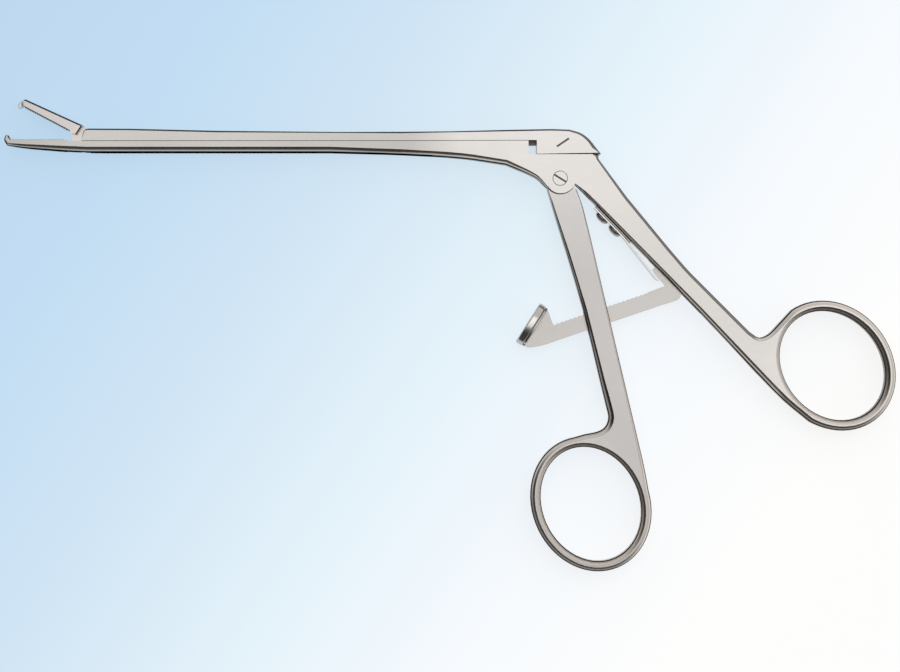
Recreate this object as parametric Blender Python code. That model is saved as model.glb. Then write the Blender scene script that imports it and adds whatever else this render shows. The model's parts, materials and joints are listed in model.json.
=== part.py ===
"""Arthroscopic grasping forceps with a sliding shaft and a ratchet.

The instrument lies flat on its side, as it would come to rest on a table. The jaws
point to -X, the handles hang towards -Y and +X, and its near side faces +Z. Outlines
are drawn in the side view with the handle's pivot at (0, 0), in millimetres, and each
plate stands evenly on both sides of the instrument's middle plane.
"""

import math

import bmesh
import bpy
from mathutils import Matrix, Vector

MM = 0.001

# Where the handle's pivot stands, so that the whole lies over the world's origin
PIVOT_X = 26.3
PIVOT_Y = 37.53

# Widths across the instrument, along Z
BODY_WIDTH = 6.6
SHAFT_WIDTH = 4.4
JAW_TIP_WIDTH = 3.5
RING_WIDTH = 5.4

# The shaft, measured along X from the handle's pivot and along Y above it
JAW_REACH = 114.24
JAW_PIVOT_HEIGHT = 7.7
SEAM_HEIGHT = 9.0
BLOCK_SEAM_HEIGHT = 5.75
FLARE_START = 38.0
FLARE_END = 12.0
STEP_BACK = 5.6
WINDOW_LENGTH = 1.95

# Running and fixed clearances
SLIDE_GAP = 0.1
HINGE_GAP = 0.1
FIXED_GAP = 0.05

# Rounded rims: the rounding's depth for each unit across, and the crease where it starts
ROUND_DEPTH = 1.5
CREASE_ANGLE = math.radians(18.0)
ROUND_STEPS = 4

# Guide rail of the slide, a T in section
RAIL_STEM_WIDTH = 0.9
RAIL_FLANGE_WIDTH = 1.7
RAIL_DEPTH = 1.0
RAIL_FLANGE_HEIGHT = 0.5
RAIL_SETBACK = 3.3

# Jaws, measured from the jaw's pivot with the jaws closed
JAW_OPEN = math.radians(27.8)
TANG_THICKNESS = 1.6
TANG_SLOT_GAP = 0.1
TANG_SLOT_FRONT = 3.95
TANG_SLOT_BACK = 1.75
TANG_PIVOT_RADIUS = 1.35
TANG_LINK_RADIUS = 1.0
JAW_PIN_RADIUS = 0.6
LINK_PIN_RADIUS = 0.55
LINK_HEIGHT = 3.2
LINK_PLAY = 0.15
PIN_COVER = 0.4
NOSE_SLOT_BACK = 2.75
TOOTH_FIRST = 4.6
TOOTH_LAST = 17.0
TOOTH_COUNT = 19
TOOTH_PITCH = (TOOTH_LAST - TOOTH_FIRST) / TOOTH_COUNT
TOOTH_ROOT = 1.47
TOOTH_HEIGHT = 0.35
MESH_GAP = 0.2
HOOK_WIDTH = 1.3
HOOK_CHEEK_START = 14.0
HOOK_CHEEK_END = 14.75
HOOK_NOTCH_GAP = 0.3
HOOK_NOTCH_BACK = 16.8
HOOK_NOTCH_FLOOR = 0.62

# The handle's lever: hub, tongue and drive screw
LOBE_RADIUS = 3.75
LOBE_GAP = 0.12
LEVER_LENGTH = 8.57
LEVER_LEAN = math.radians(4.35)
TONGUE_THICKNESS = 2.4
TONGUE_PIVOT_RADIUS = 2.75
TONGUE_DRIVE_RADIUS = 1.9
TONGUE_GAP = 0.1
DRIVE_SLOT_REACH = 2.95
PIVOT_HEAD_RADIUS = 1.75
DRIVE_HEAD_RADIUS = 1.7
SHANK_RADIUS = 1.2
HEAD_HEIGHT = 1.05
HEAD_RECESS = 0.04
HEAD_CHAMFER = 0.08
SHANK_CHAMFER = 0.2
SCREW_SLOT_WIDTH = 0.42
SCREW_SLOT_DEPTH = 0.45
PIVOT_SLOT_ANGLE = math.radians(-32.0)
DRIVE_SLOT_ANGLE = math.radians(34.0)

# Finger rings: one oval hole for both, and the metal round it
RING_HOLE_MAJOR = 14.05
RING_HOLE_MINOR = 11.6
RING_METAL = 2.5
RING_ROUNDING = 1.05
FRONT_RING = (7.46, -77.89)
FRONT_RING_TILT = math.radians(-65.7)
REAR_RING = (65.32, -44.76)
REAR_RING_TILT = math.radians(-50.0)

# The rear handle's straight inner edge, from the notch towards the ring
NOTCH = (3.7, -1.25)
INNER_EDGE_ANGLE = math.radians(-45.8)
INNER_EDGE_LENGTH = 72.0

# Ratchet, its slot and its pin
RATCHET_THICKNESS = 1.5
RATCHET_SLOT_GAP = 0.2
RATCHET_PIN = (27.9, -23.8)
RATCHET_PIN_RADIUS = 0.7
RATCHET_PIN_LOW = -2.9
RATCHET_PIN_HIGH = 2.2
RATCHET_BOSS_RADIUS = 1.3
RATCHET_TOOTH_COUNT = 21
RATCHET_TOOTH_HEIGHT = 0.3
RATCHET_TEETH_START = (-1.2, -35.1)
RATCHET_TEETH_END = (20.7, -27.7)
RATCHET_BAR_HEIGHT = 3.65
SLOT_SAW_RADIUS = 13.65
SLOT_SAW_ALONG = 34.3
SLOT_SAW_OUT = 10.35
WINDOW_ABOVE = 0.15
WINDOW_RELIEF = 0.7
WINDOW_BELOW = 1.15
WINDOW_FRONT = 4.0
WINDOW_PAWL = 13.4
WINDOW_BACK = 19.0
WINDOW_WIDTH = 2.0

# Finger pad on the ratchet's slanted end
PAD_SEAT_TOP = (-3.17, -30.65)
PAD_SEAT_BOTTOM = (-9.1, -40.0)
PAD_THICKNESS = 1.75
PAD_WIDTH = 6.3
PAD_ROUNDING = 0.25
FLANGE_THICKNESS = 0.5
FLANGE_INSET = 0.25
FLANGE_ROUNDING = 0.12
STUB_RADIUS = 0.55
STUB_LENGTH = 0.8
STUB_RELIEF = 0.1

# Ratchet spring, its backing strip and screws, measured along the inner edge and out from it
SPRING_START = 7.25
SPRING_FLAT_END = 17.0
SPRING_BEND = 29.6
SPRING_LIFT = 1.96
SPRING_TIP = [(30.1, 1.9), (30.4, 1.68)]
SPRING_THICKNESS = 0.4
SPRING_WIDTH = 3.2
BACKING_THICKNESS = 0.35
BACKING_WIDTH = 3.6
BACKING_END = 19.3
DOME_SCREWS = (10.3, 14.6)
DOME_RADIUS = 1.82
DOME_RIM = 0.15
DOME_HEIGHT = 1.02
DOME_SLOT_DEPTH = 0.55
DOME_SHANK_RADIUS = 0.75
DOME_SHANK_LENGTH = 3.85
DOME_CHAMFER = 0.15
DOME_BASE_CHAMFER = 0.1
DOME_HOLE_RELIEF = 0.3

# Facets
RING_STEPS = 56
BOSS_STEPS = 24
SCREW_STEPS = 36
SAW_STEPS = 72
PAD_STEPS = 40
CURVE_STEPS = 5

STEEL = (0.62, 0.6, 0.58)
POLISHED = (0.55, 0.53, 0.51)
DARK_STEEL = (0.09, 0.085, 0.085)


def along(point, angle, distance):
    """The point at a distance from another in a given direction."""
    return (
        point[0] + distance * math.cos(angle),
        point[1] + distance * math.sin(angle),
    )


def mix(first, last, share):
    """A value between two others."""
    return first + (last - first) * share


JAW_PIVOT = (-JAW_REACH, JAW_PIVOT_HEIGHT)
DRIVE_SCREW = along((0.0, 0.0), math.pi / 2 - LEVER_LEAN, LEVER_LENGTH)
LINK_CLOSED = along((0.0, 0.0), math.pi / 2 + JAW_OPEN / 2, LINK_HEIGHT)
LINK_PIN = along(JAW_PIVOT, math.pi / 2 - JAW_OPEN / 2, LINK_HEIGHT)
SLIDE_BOTTOM = SEAM_HEIGHT + SLIDE_GAP
BLOCK_BOTTOM = BLOCK_SEAM_HEIGHT + SLIDE_GAP
RAIL_BOTTOM = SLIDE_BOTTOM - RAIL_DEPTH - SLIDE_GAP
TANG_SLOT = TANG_THICKNESS / 2 + TANG_SLOT_GAP
HOOK_TURN = Vector((math.cos(JAW_OPEN), math.sin(JAW_OPEN)))
EDGE_OUTWARD = (*along((0.0, 0.0), INNER_EDGE_ANGLE - math.pi / 2, 1.0), 0.0)
EDGE_INWARD = (-EDGE_OUTWARD[0], -EDGE_OUTWARD[1], 0.0)


def at_jaw(x, y):
    """A point given from the jaw's pivot, in the side view."""
    return (JAW_PIVOT[0] + x, JAW_PIVOT[1] + y)


def at_edge(distance, out):
    """A point given along the rear handle's inner edge and outwards from it."""
    on_edge = along(NOTCH, INNER_EDGE_ANGLE, distance)
    return along(on_edge, INNER_EDGE_ANGLE - math.pi / 2, out)


class Outline:
    """A closed outline with the metal on its left, and the rounding wanted at each point."""

    def __init__(self, start, rounding=0.0):
        self.points = [Vector(start)]
        self.roundings = [rounding]

    def to(self, point, rounding=0.0):
        """Goes straight to a point."""
        self.points.append(Vector(point))
        self.roundings.append(rounding)
        return self

    def curve(self, places, rounding, steps=CURVE_STEPS):
        """Goes on through places in a smooth curve, whose rounding changes evenly."""
        first = self.roundings[-1]
        knots = [self.points[-1], *[Vector(place) for place in places]]
        knots = [2 * knots[0] - knots[1], *knots, 2 * knots[-1] - knots[-2]]
        spans = len(knots) - 3
        for span in range(spans):
            before, start, end, after = knots[span : span + 4]
            length = (end - start).length
            leave = (end - before) * length / ((end - start).length + (start - before).length)
            reach = (after - start) * length / ((after - end).length + (end - start).length)
            for step in range(1, steps + 1):
                t = step / steps
                point = (
                    (2 * t**3 - 3 * t**2 + 1) * start
                    + (t**3 - 2 * t**2 + t) * leave
                    + (3 * t**2 - 2 * t**3) * end
                    + (t**3 - t**2) * reach
                )
                self.to(point, mix(first, rounding, (span + t) / spans))
        return self

    def arc(self, centre, radius, start, end, rounding, steps):
        """Goes round a circle, from one angle in degrees to another."""
        first = self.roundings[-1]
        for step in range(steps + 1):
            angle = math.radians(mix(start, end, step / steps))
            self.to(along(centre, angle, radius), mix(first, rounding, step / steps))
        return self

    def oval(self, centre, major, minor, tilt, start, end, rounding, steps):
        """Goes round an oval, from one parameter in degrees to another."""
        for step in range(steps + 1):
            self.to(oval_point(centre, major, minor, tilt, mix(start, end, step / steps)), rounding)
        return self

    def teeth(self, last, count, height, lean=0.5):
        """Goes to a point in teeth that stand to the right of the way there."""
        start = self.points[-1].copy()
        way = (Vector(last) - start) / count
        out = Vector((way.y, -way.x)).normalized() * height
        for tooth in range(count):
            self.to(start + way * (tooth + lean) + out)
            self.to(start + way * (tooth + 1))
        return self


def oval_point(centre, major, minor, tilt, degrees):
    """A point of a tilted oval."""
    angle = math.radians(degrees)
    point = along(centre, tilt, major * math.cos(angle))
    return along(point, tilt + math.pi / 2, minor * math.sin(angle))


def ring_hole(centre, tilt):
    """The outline of a finger ring's hole, with the metal on its left."""
    hole = Outline(oval_point(centre, RING_HOLE_MAJOR, RING_HOLE_MINOR, tilt, 0.0), RING_ROUNDING)
    last = -360.0 * (RING_STEPS - 1) / RING_STEPS
    first = -360.0 / RING_STEPS
    return hole.oval(
        centre, RING_HOLE_MAJOR, RING_HOLE_MINOR, tilt, first, last, RING_ROUNDING, RING_STEPS - 2
    )


class Taper:
    """Half widths given at stations along a direction, changing evenly between them."""

    def __init__(self, direction, stations):
        self.direction = Vector(direction).normalized()
        self.stations = stations

    def half_width(self, point):
        """The half width at a point of the side view."""
        place = self.direction.dot(Vector(point[:2]))
        if place <= self.stations[0][0]:
            return self.stations[0][1]
        for (start, first), (end, last) in zip(self.stations, self.stations[1:]):
            if place <= end:
                return mix(first, last, (place - start) / (end - start))
        return self.stations[-1][1]


SHAFT_TAPER = Taper(
    (1.0, 0.0),
    [
        (-JAW_REACH - 18.5, JAW_TIP_WIDTH / 2),
        (-JAW_REACH - TANG_SLOT_FRONT, SHAFT_WIDTH / 2),
        (-FLARE_START, SHAFT_WIDTH / 2),
        (-FLARE_END, BODY_WIDTH / 2),
    ],
)
REAR_HANDLE_TAPER = Taper(
    (math.cos(INNER_EDGE_ANGLE), math.sin(INNER_EDGE_ANGLE)),
    [(15.0, BODY_WIDTH / 2), (64.0, RING_WIDTH / 2)],
)
FRONT_HANDLE_TAPER = Taper((0.25, -0.97), [(9.0, BODY_WIDTH / 2), (62.0, RING_WIDTH / 2)])


def rim_levels():
    """How far in and how far down the rim's rounding lies, from the flat to the edge."""
    levels = []
    for step in range(ROUND_STEPS + 1):
        turn = mix(CREASE_ANGLE, math.pi / 2, step / ROUND_STEPS)
        across = (1 - math.sin(turn)) / (1 - math.sin(CREASE_ANGLE))
        drop = 1 - math.cos(turn) / math.cos(CREASE_ANGLE)
        levels.append((across, drop))
    return levels


def inward_ways(points):
    """The mitred way into the metal at each point of a closed outline."""
    ways = []
    count = len(points)
    for i, point in enumerate(points):
        before = (point - points[i - 1]).normalized()
        after = (points[(i + 1) % count] - point).normalized()
        left = Vector((-before.y, before.x))
        next_left = Vector((-after.y, after.x))
        middle = left + next_left
        if middle.length < 1e-6:
            middle = left
        middle.normalize()
        ways.append(middle / max(middle.dot(left), 0.5))
    return ways


def join_rings(mesh, ring, next_ring):
    """Bridges two rings of vertices that match one to one."""
    for i in range(len(ring)):
        after = (i + 1) % len(ring)
        mesh.faces.new((ring[i], ring[after], next_ring[after], next_ring[i]))


def ring_edges(mesh, ring):
    """The edges along a closed ring of vertices."""
    return [mesh.edges.get((ring[i - 1], ring[i])) for i in range(len(ring))]


def plate(outline, half_width, holes=(), tapers=()):
    """A solid plate with rounded rims, thinned where its tapers say."""
    mesh = bmesh.new()
    top = []
    bottom = []
    for loop in (outline, *holes):
        ways = inward_ways(loop.points)
        rings = []
        levels = rim_levels()
        for side, ordered in ((1, levels), (-1, levels[::-1])):
            for across, drop in ordered:
                ring = []
                for point, way, rounding in zip(loop.points, ways, loop.roundings):
                    place = point + way * rounding * across
                    depth = min(rounding * ROUND_DEPTH, half_width) * drop
                    ring.append(mesh.verts.new((place.x, place.y, side * (half_width - depth))))
                rings.append(ring)
        for ring, next_ring in zip(rings, rings[1:]):
            join_rings(mesh, ring, next_ring)
        top += ring_edges(mesh, rings[0])
        bottom += ring_edges(mesh, rings[-1])
    for edges in (top, bottom):
        bmesh.ops.triangle_fill(mesh, edges=edges, use_beauty=True)
    for taper in tapers:
        crease_and_thin(mesh, taper, half_width)
    bmesh.ops.remove_doubles(mesh, verts=mesh.verts, dist=0.004)
    bmesh.ops.recalc_face_normals(mesh, faces=mesh.faces)
    return mesh


def crease_and_thin(mesh, taper, half_width):
    """Cuts a plate along its taper's stations and lowers both faces to the taper."""
    way = taper.direction.to_3d()
    for station, _ in taper.stations:
        geometry = [*mesh.verts, *mesh.edges, *mesh.faces]
        bmesh.ops.bisect_plane(mesh, geom=geometry, dist=1e-4, plane_co=way * station, plane_no=way)
    for vertex in mesh.verts:
        loss = half_width - taper.half_width(vertex.co)
        side = math.copysign(1.0, vertex.co.z)
        vertex.co.z = side * max(abs(vertex.co.z) - loss, 0.0)


def prism(points, low, high):
    """A straight prism on an outline in the side view."""
    mesh = bmesh.new()
    base = mesh.faces.new([mesh.verts.new((x, y, low)) for x, y in points])
    raised = bmesh.ops.extrude_face_region(mesh, geom=[base])["geom"]
    verts = [part for part in raised if isinstance(part, bmesh.types.BMVert)]
    bmesh.ops.translate(mesh, verts=verts, vec=(0.0, 0.0, high - low))
    bmesh.ops.recalc_face_normals(mesh, faces=mesh.faces)
    return mesh


def box(low, high):
    """A block between two corners."""
    corners = [(low[0], low[1]), (high[0], low[1]), (high[0], high[1]), (low[0], high[1])]
    return prism(corners, low[2], high[2])


def turned(profile, place=(0.0, 0.0, 0.0), way=(0.0, 0.0, 1.0), steps=BOSS_STEPS):
    """A solid turned from (radius, height) pairs, standing at a place along a way."""
    mesh = bmesh.new()
    verts = [mesh.verts.new((radius, 0.0, height)) for radius, height in profile]
    edges = [mesh.edges.new(pair) for pair in zip(verts, verts[1:])]
    bmesh.ops.spin(
        mesh,
        geom=verts + edges,
        cent=(0.0, 0.0, 0.0),
        axis=(0.0, 0.0, 1.0),
        angle=math.tau,
        steps=steps,
        use_duplicate=False,
    )
    bmesh.ops.remove_doubles(mesh, verts=mesh.verts, dist=1e-4)
    open_edges = [edge for edge in mesh.edges if edge.is_boundary]
    bmesh.ops.holes_fill(mesh, edges=open_edges)
    turn = Vector(way).to_track_quat("Z", "Y").to_matrix().to_4x4()
    bmesh.ops.transform(mesh, matrix=Matrix.Translation(place) @ turn, verts=mesh.verts)
    bmesh.ops.recalc_face_normals(mesh, faces=mesh.faces)
    return mesh


def pin(place, radius, low, high, chamfer=0.1):
    """A pin along Z with chamfered ends."""
    profile = [
        (radius - chamfer, low),
        (radius, low + chamfer),
        (radius, high - chamfer),
        (radius - chamfer, high),
    ]
    return turned(profile, (*place, 0.0))


def bore(place, radius, low, high):
    """A cutter for a plain bore along Z."""
    return turned([(radius, low), (radius, high)], (*place, 0.0))


def make_material(name, colour, roughness):
    """A metal with one colour."""
    material = bpy.data.materials.new(name)
    material.use_nodes = True
    shader = material.node_tree.nodes["Principled BSDF"]
    shader.inputs["Base Color"].default_value = (*colour, 1.0)
    shader.inputs["Metallic"].default_value = 1.0
    shader.inputs["Roughness"].default_value = roughness
    return material


def world_place(point):
    """Where a point of the side view lies in the world, on the middle plane."""
    return Vector((point[0] + PIVOT_X, point[1] + PIVOT_Y, BODY_WIDTH / 2)) * MM


def make_object(name, mesh, origin):
    """An object whose own origin lies on a point of the side view."""
    bmesh.ops.translate(mesh, verts=mesh.verts, vec=(-origin[0], -origin[1], 0.0))
    bmesh.ops.scale(mesh, verts=mesh.verts, vec=(MM, MM, MM))
    data = bpy.data.meshes.new(name)
    mesh.to_mesh(data)
    mesh.free()
    made = bpy.data.objects.new(name, data)
    made.location = world_place(origin)
    bpy.context.scene.collection.objects.link(made)
    return made


def make_part(name, mesh, colour, roughness=0.35, origin=(0.0, 0.0)):
    """A piece of the instrument with a material of its own."""
    made = make_object(name, mesh, origin)
    made.data.materials.append(make_material(name, colour, roughness))
    return made


def apply_shape(part, mesh, name, operation, origin=(0.0, 0.0)):
    """Joins a shape to a part or cuts it away, and keeps it as a hidden helper."""
    helper = make_object(f"{part.name}_{name}", mesh, origin)
    helper.hide_render = True
    helper.display_type = "WIRE"
    helper.parent = part
    helper.location = helper.location - part.location
    step = part.modifiers.new(name, "BOOLEAN")
    step.operation = operation
    step.solver = "EXACT"
    step.object = helper


def add(part, mesh, name, origin=(0.0, 0.0)):
    """Joins a shape to a part."""
    apply_shape(part, mesh, name, "UNION", origin)


def cut(part, mesh, name, origin=(0.0, 0.0)):
    """Cuts a shape out of a part."""
    apply_shape(part, mesh, name, "DIFFERENCE", origin)


def rail_section(extra, top):
    """The T of the guide rail, wider and deeper by a clearance, as (z, y) points."""
    stem = RAIL_STEM_WIDTH / 2 + extra
    flange = RAIL_FLANGE_WIDTH / 2 + extra
    low = RAIL_BOTTOM - extra
    shoulder = RAIL_BOTTOM + RAIL_FLANGE_HEIGHT + extra
    half = [(stem, top), (stem, shoulder), (flange, shoulder), (flange, low)]
    return half + [(-z, y) for z, y in reversed(half)]


def rail(extra, top, start, end):
    """The guide rail, or the cutter for its slot, between two places along X."""
    mesh = bmesh.new()
    verts = [mesh.verts.new((start, y, z)) for z, y in rail_section(extra, top)]
    base = mesh.faces.new(verts)
    raised = bmesh.ops.extrude_face_region(mesh, geom=[base])["geom"]
    moved = [part for part in raised if isinstance(part, bmesh.types.BMVert)]
    bmesh.ops.translate(mesh, verts=moved, vec=(end - start, 0.0, 0.0))
    bmesh.ops.recalc_face_normals(mesh, faces=mesh.faces)
    return mesh


def frame_outline():
    """The fixed frame's outline: lower jaw, shaft, body, rear handle and ring."""
    ring_major = RING_HOLE_MAJOR + RING_METAL
    ring_minor = RING_HOLE_MINOR + RING_METAL
    outline = Outline(at_jaw(-18.15, 2.9), 0.1)
    hook = [at_jaw(-18.55, 2.55), at_jaw(-18.83, 1.55), at_jaw(-18.2, 0.32)]
    outline.curve(hook, 0.55, 3)
    outline.curve([at_jaw(-16.06, -0.08), at_jaw(-12.06, -0.58), at_jaw(-5.66, -1.12)], 1.3, 2)
    outline.curve([at_jaw(1.0, -1.5), at_jaw(12.0, -1.55)], 1.5, 2)
    outline.to((-55.1, 6.16), 1.45)
    outline.curve([(-37.6, 5.66), (-23.4, 4.8), (-12.9, 3.29)], 1.1, 4)
    outline.curve([(-6.0, 0.3), (-3.2, -2.1)], 0.3, 5)
    outline.arc((0.0, 0.0), LOBE_RADIUS, -143.5, -18.7, 0.0, 18)
    outline.to(at_edge(3.0, 0.0), 0.45)
    outline.to(at_edge(7.0, 0.0), 0.6)
    outline.to(at_edge(42.0, 0.0), 0.9)
    outline.curve([at_edge(52.0, 0.15), at_edge(62.0, 0.4)], 1.1, 2)
    ring_start = oval_point(REAR_RING, ring_major, ring_minor, REAR_RING_TILT, -66.0)
    outline.curve([at_edge(INNER_EDGE_LENGTH, 0.35), ring_start], RING_ROUNDING, 3)
    outline.oval(
        REAR_RING, ring_major, ring_minor, REAR_RING_TILT, -62.0, 176.0, RING_ROUNDING, 44
    )
    valley = [(52.2, -35.0), (49.9, -37.3), (47.7, -38.05), (45.4, -36.7)]
    outline.curve(valley, 0.85, 4)
    outline.curve([(37.0, -28.3), (29.7, -20.9), (16.0, -4.5)], 0.75, 4)
    outline.to((9.15, 4.7), 0.5)
    outline.to((9.2, BLOCK_SEAM_HEIGHT), 0.65)
    outline.to((7.66, BLOCK_SEAM_HEIGHT))
    outline.to((-STEP_BACK - WINDOW_LENGTH, BLOCK_SEAM_HEIGHT))
    outline.to((-STEP_BACK - WINDOW_LENGTH, SEAM_HEIGHT))
    outline.to(at_jaw(-TANG_SLOT_FRONT + 0.15, SEAM_HEIGHT - JAW_PIVOT_HEIGHT))
    outline.to(at_jaw(-TANG_SLOT_FRONT + 0.05, TOOTH_ROOT))
    outline.to(at_jaw(-TOOTH_FIRST, TOOTH_ROOT))
    outline.teeth(at_jaw(-TOOTH_LAST, TOOTH_ROOT), TOOTH_COUNT, TOOTH_HEIGHT)
    outline.curve([at_jaw(-17.5, 1.75), at_jaw(-17.95, 2.25)], 0.0, 2)
    return outline


def make_frame():
    """The fixed frame with its slots and bores."""
    hole = ring_hole(REAR_RING, REAR_RING_TILT)
    body = plate(frame_outline(), BODY_WIDTH / 2, [hole], [SHAFT_TAPER, REAR_HANDLE_TAPER])
    frame = make_part("fixed_frame", body, STEEL)

    slot_front = at_jaw(TANG_SLOT_BACK - 0.3, 0.0)[0]
    cut(frame, rail(SLIDE_GAP, SEAM_HEIGHT + 1.0, slot_front, -STEP_BACK - 1.0), "rail_slot")
    tang_low = (*at_jaw(-TANG_SLOT_FRONT, -4.0), -TANG_SLOT)
    tang_high = (*at_jaw(TANG_SLOT_BACK, 4.0), TANG_SLOT)
    cut(frame, box(tang_low, tang_high), "tang_slot")
    notch_half = HOOK_WIDTH / 2 + HOOK_NOTCH_GAP
    notch_low = (*at_jaw(-21.0, HOOK_NOTCH_FLOOR), -notch_half)
    notch_high = (*at_jaw(-HOOK_NOTCH_BACK, 5.0), notch_half)
    cut(frame, box(notch_low, notch_high), "hook_notch")
    pin_half = SHAFT_WIDTH / 2 - PIN_COVER + FIXED_GAP
    cut(frame, bore(JAW_PIVOT, JAW_PIN_RADIUS + FIXED_GAP, -pin_half, pin_half), "jaw_bore")

    saw = TONGUE_THICKNESS / 2 + TONGUE_GAP
    tongue_slot = [
        (-4.46, -7.0),
        (7.55, -7.0),
        (7.55, -5.2),
        (4.4, 1.5),
        (4.0, SEAM_HEIGHT),
        (-3.6, SEAM_HEIGHT),
        (-4.46, 0.0),
    ]
    cut(frame, prism(tongue_slot, -saw, saw), "tongue_slot")
    cut(frame, screw_bore((0.0, 0.0), PIVOT_HEAD_RADIUS), "pivot_bore")

    slot_half = RATCHET_THICKNESS / 2 + RATCHET_SLOT_GAP
    saw_place = at_edge(SLOT_SAW_ALONG, SLOT_SAW_OUT)
    saw_cut = turned(
        [(SLOT_SAW_RADIUS, -slot_half), (SLOT_SAW_RADIUS, slot_half)], (*saw_place, 0.0), steps=SAW_STEPS
    )
    cut(frame, saw_cut, "ratchet_slot")
    pin_top = RATCHET_PIN_HIGH + FIXED_GAP
    pin_bore = bore(RATCHET_PIN, RATCHET_PIN_RADIUS + FIXED_GAP, -BODY_WIDTH, pin_top)
    cut(frame, pin_bore, "ratchet_bore")
    for name, distance in zip(("upper", "lower"), DOME_SCREWS):
        place = (*at_edge(distance, 1.0), 0.0)
        depth = DOME_SHANK_LENGTH + DOME_HOLE_RELIEF
        profile = [(DOME_SHANK_RADIUS + FIXED_GAP, 0.0), (DOME_SHANK_RADIUS + FIXED_GAP, depth)]
        cut(frame, turned(profile, place, EDGE_INWARD), f"{name}_screw_hole")
    return frame


def screw_bore(place, head_radius):
    """A cutter for a flush screw: its shank's bore and its head's counterbore."""
    shank = SHANK_RADIUS + FIXED_GAP
    head = head_radius + FIXED_GAP
    seat = BODY_WIDTH / 2 - HEAD_HEIGHT - HEAD_RECESS - FIXED_GAP
    reach = BODY_WIDTH / 2 + 1.0
    profile = [(shank, -reach), (shank, seat), (head, seat), (head, reach)]
    return turned(profile, (*place, 0.0))


def slide_outline():
    """The sliding shaft's outline, from its nose to its rear block."""
    outline = Outline((at_jaw(-0.22, 0.0)[0], SLIDE_BOTTOM))
    outline.to((-STEP_BACK, SLIDE_BOTTOM))
    outline.to((-STEP_BACK, BLOCK_BOTTOM))
    outline.to((9.75, BLOCK_BOTTOM), 0.3)
    outline.to((8.3, 7.75), 0.8)
    outline.curve([(6.9, 9.45), (4.9, 10.85), (2.2, 11.65)], 0.45, 4)
    outline.curve([(-2.5, 11.78), (-26.0, 11.3)], 0.4, 4)
    outline.curve([(-52.7, 11.18), (-81.5, 11.45), (-103.0, 11.95)], 0.4, 3)
    outline.to(at_jaw(1.6, 4.3), 0.4)
    outline.curve([at_jaw(0.75, 4.15), at_jaw(0.2, 3.65)], 0.25, 3)
    return outline


def make_slide():
    """The sliding shaft with its rail, its slots and its bores."""
    body = plate(slide_outline(), BODY_WIDTH / 2, (), [SHAFT_TAPER])
    slide = make_part("sliding_shaft", body, STEEL, origin=DRIVE_SCREW)
    rail_front = at_jaw(RAIL_SETBACK, 0.0)[0]
    guide = rail(0.0, SLIDE_BOTTOM + 0.5, rail_front, -STEP_BACK + 1.0)
    add(slide, guide, "rail")

    saw = TONGUE_THICKNESS / 2 + TONGUE_GAP
    low = (DRIVE_SCREW[0] - DRIVE_SLOT_REACH, 0.0, -saw)
    top = DRIVE_SCREW[1] + TONGUE_DRIVE_RADIUS + 0.2
    high = (DRIVE_SCREW[0] + DRIVE_SLOT_REACH, top, saw)
    cut(slide, box(low, high), "tongue_slot")
    cut(slide, screw_bore(DRIVE_SCREW, DRIVE_HEAD_RADIUS), "drive_bore")

    nose_low = (*at_jaw(-3.0, 0.0), -TANG_SLOT)
    nose_high = (*at_jaw(NOSE_SLOT_BACK, 8.0), TANG_SLOT)
    cut(slide, box(nose_low, nose_high), "nose_slot")
    pin_half = SHAFT_WIDTH / 2 - PIN_COVER + FIXED_GAP
    cut(slide, bore(LINK_PIN, LINK_PIN_RADIUS + FIXED_GAP, -pin_half, pin_half), "link_bore")
    return slide


def upper_jaw_outline():
    """The upper jaw's outline in the closed pose, from the jaw's pivot."""
    outline = Outline((-17.86, 0.95), 0.1)
    outline.to((-17.45, 1.35))
    outline.to((-17.2, 1.85))
    root = TOOTH_ROOT + TOOTH_HEIGHT + MESH_GAP
    outline.to((-TOOTH_LAST + TOOTH_PITCH / 2, root))
    outline.teeth((-TOOTH_FIRST - TOOTH_PITCH / 2, root), TOOTH_COUNT - 1, TOOTH_HEIGHT)
    outline.to((-4.45, 1.84))
    outline.to((-3.71, 1.72))
    outline.to((-2.62, 1.74))
    outline.to((-2.35, 4.46))
    outline.to((-2.9, 4.45), 0.4)
    outline.to((-17.3, 3.62), 0.4)
    outline.curve([(-17.9, 3.2), (-18.45, 2.3), (-18.5, 1.4)], 0.15, 3)
    return outline


def tang_outline():
    """The jaw's tang in the closed pose: round the pivot, round the link, into the jaw."""
    outline = Outline((-3.84, 1.65))
    outline.to((-3.1, 0.06))
    outline.arc((0.0, 0.0), TANG_PIVOT_RADIUS, 195.0, 385.0, 0.0, 14)
    outline.arc(LINK_CLOSED, TANG_LINK_RADIUS, 10.0, 110.0, 0.0, 8)
    outline.to((-2.6, 4.1))
    outline.to((-4.3, 3.9))
    outline.to((-4.3, 2.35))
    return outline


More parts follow.
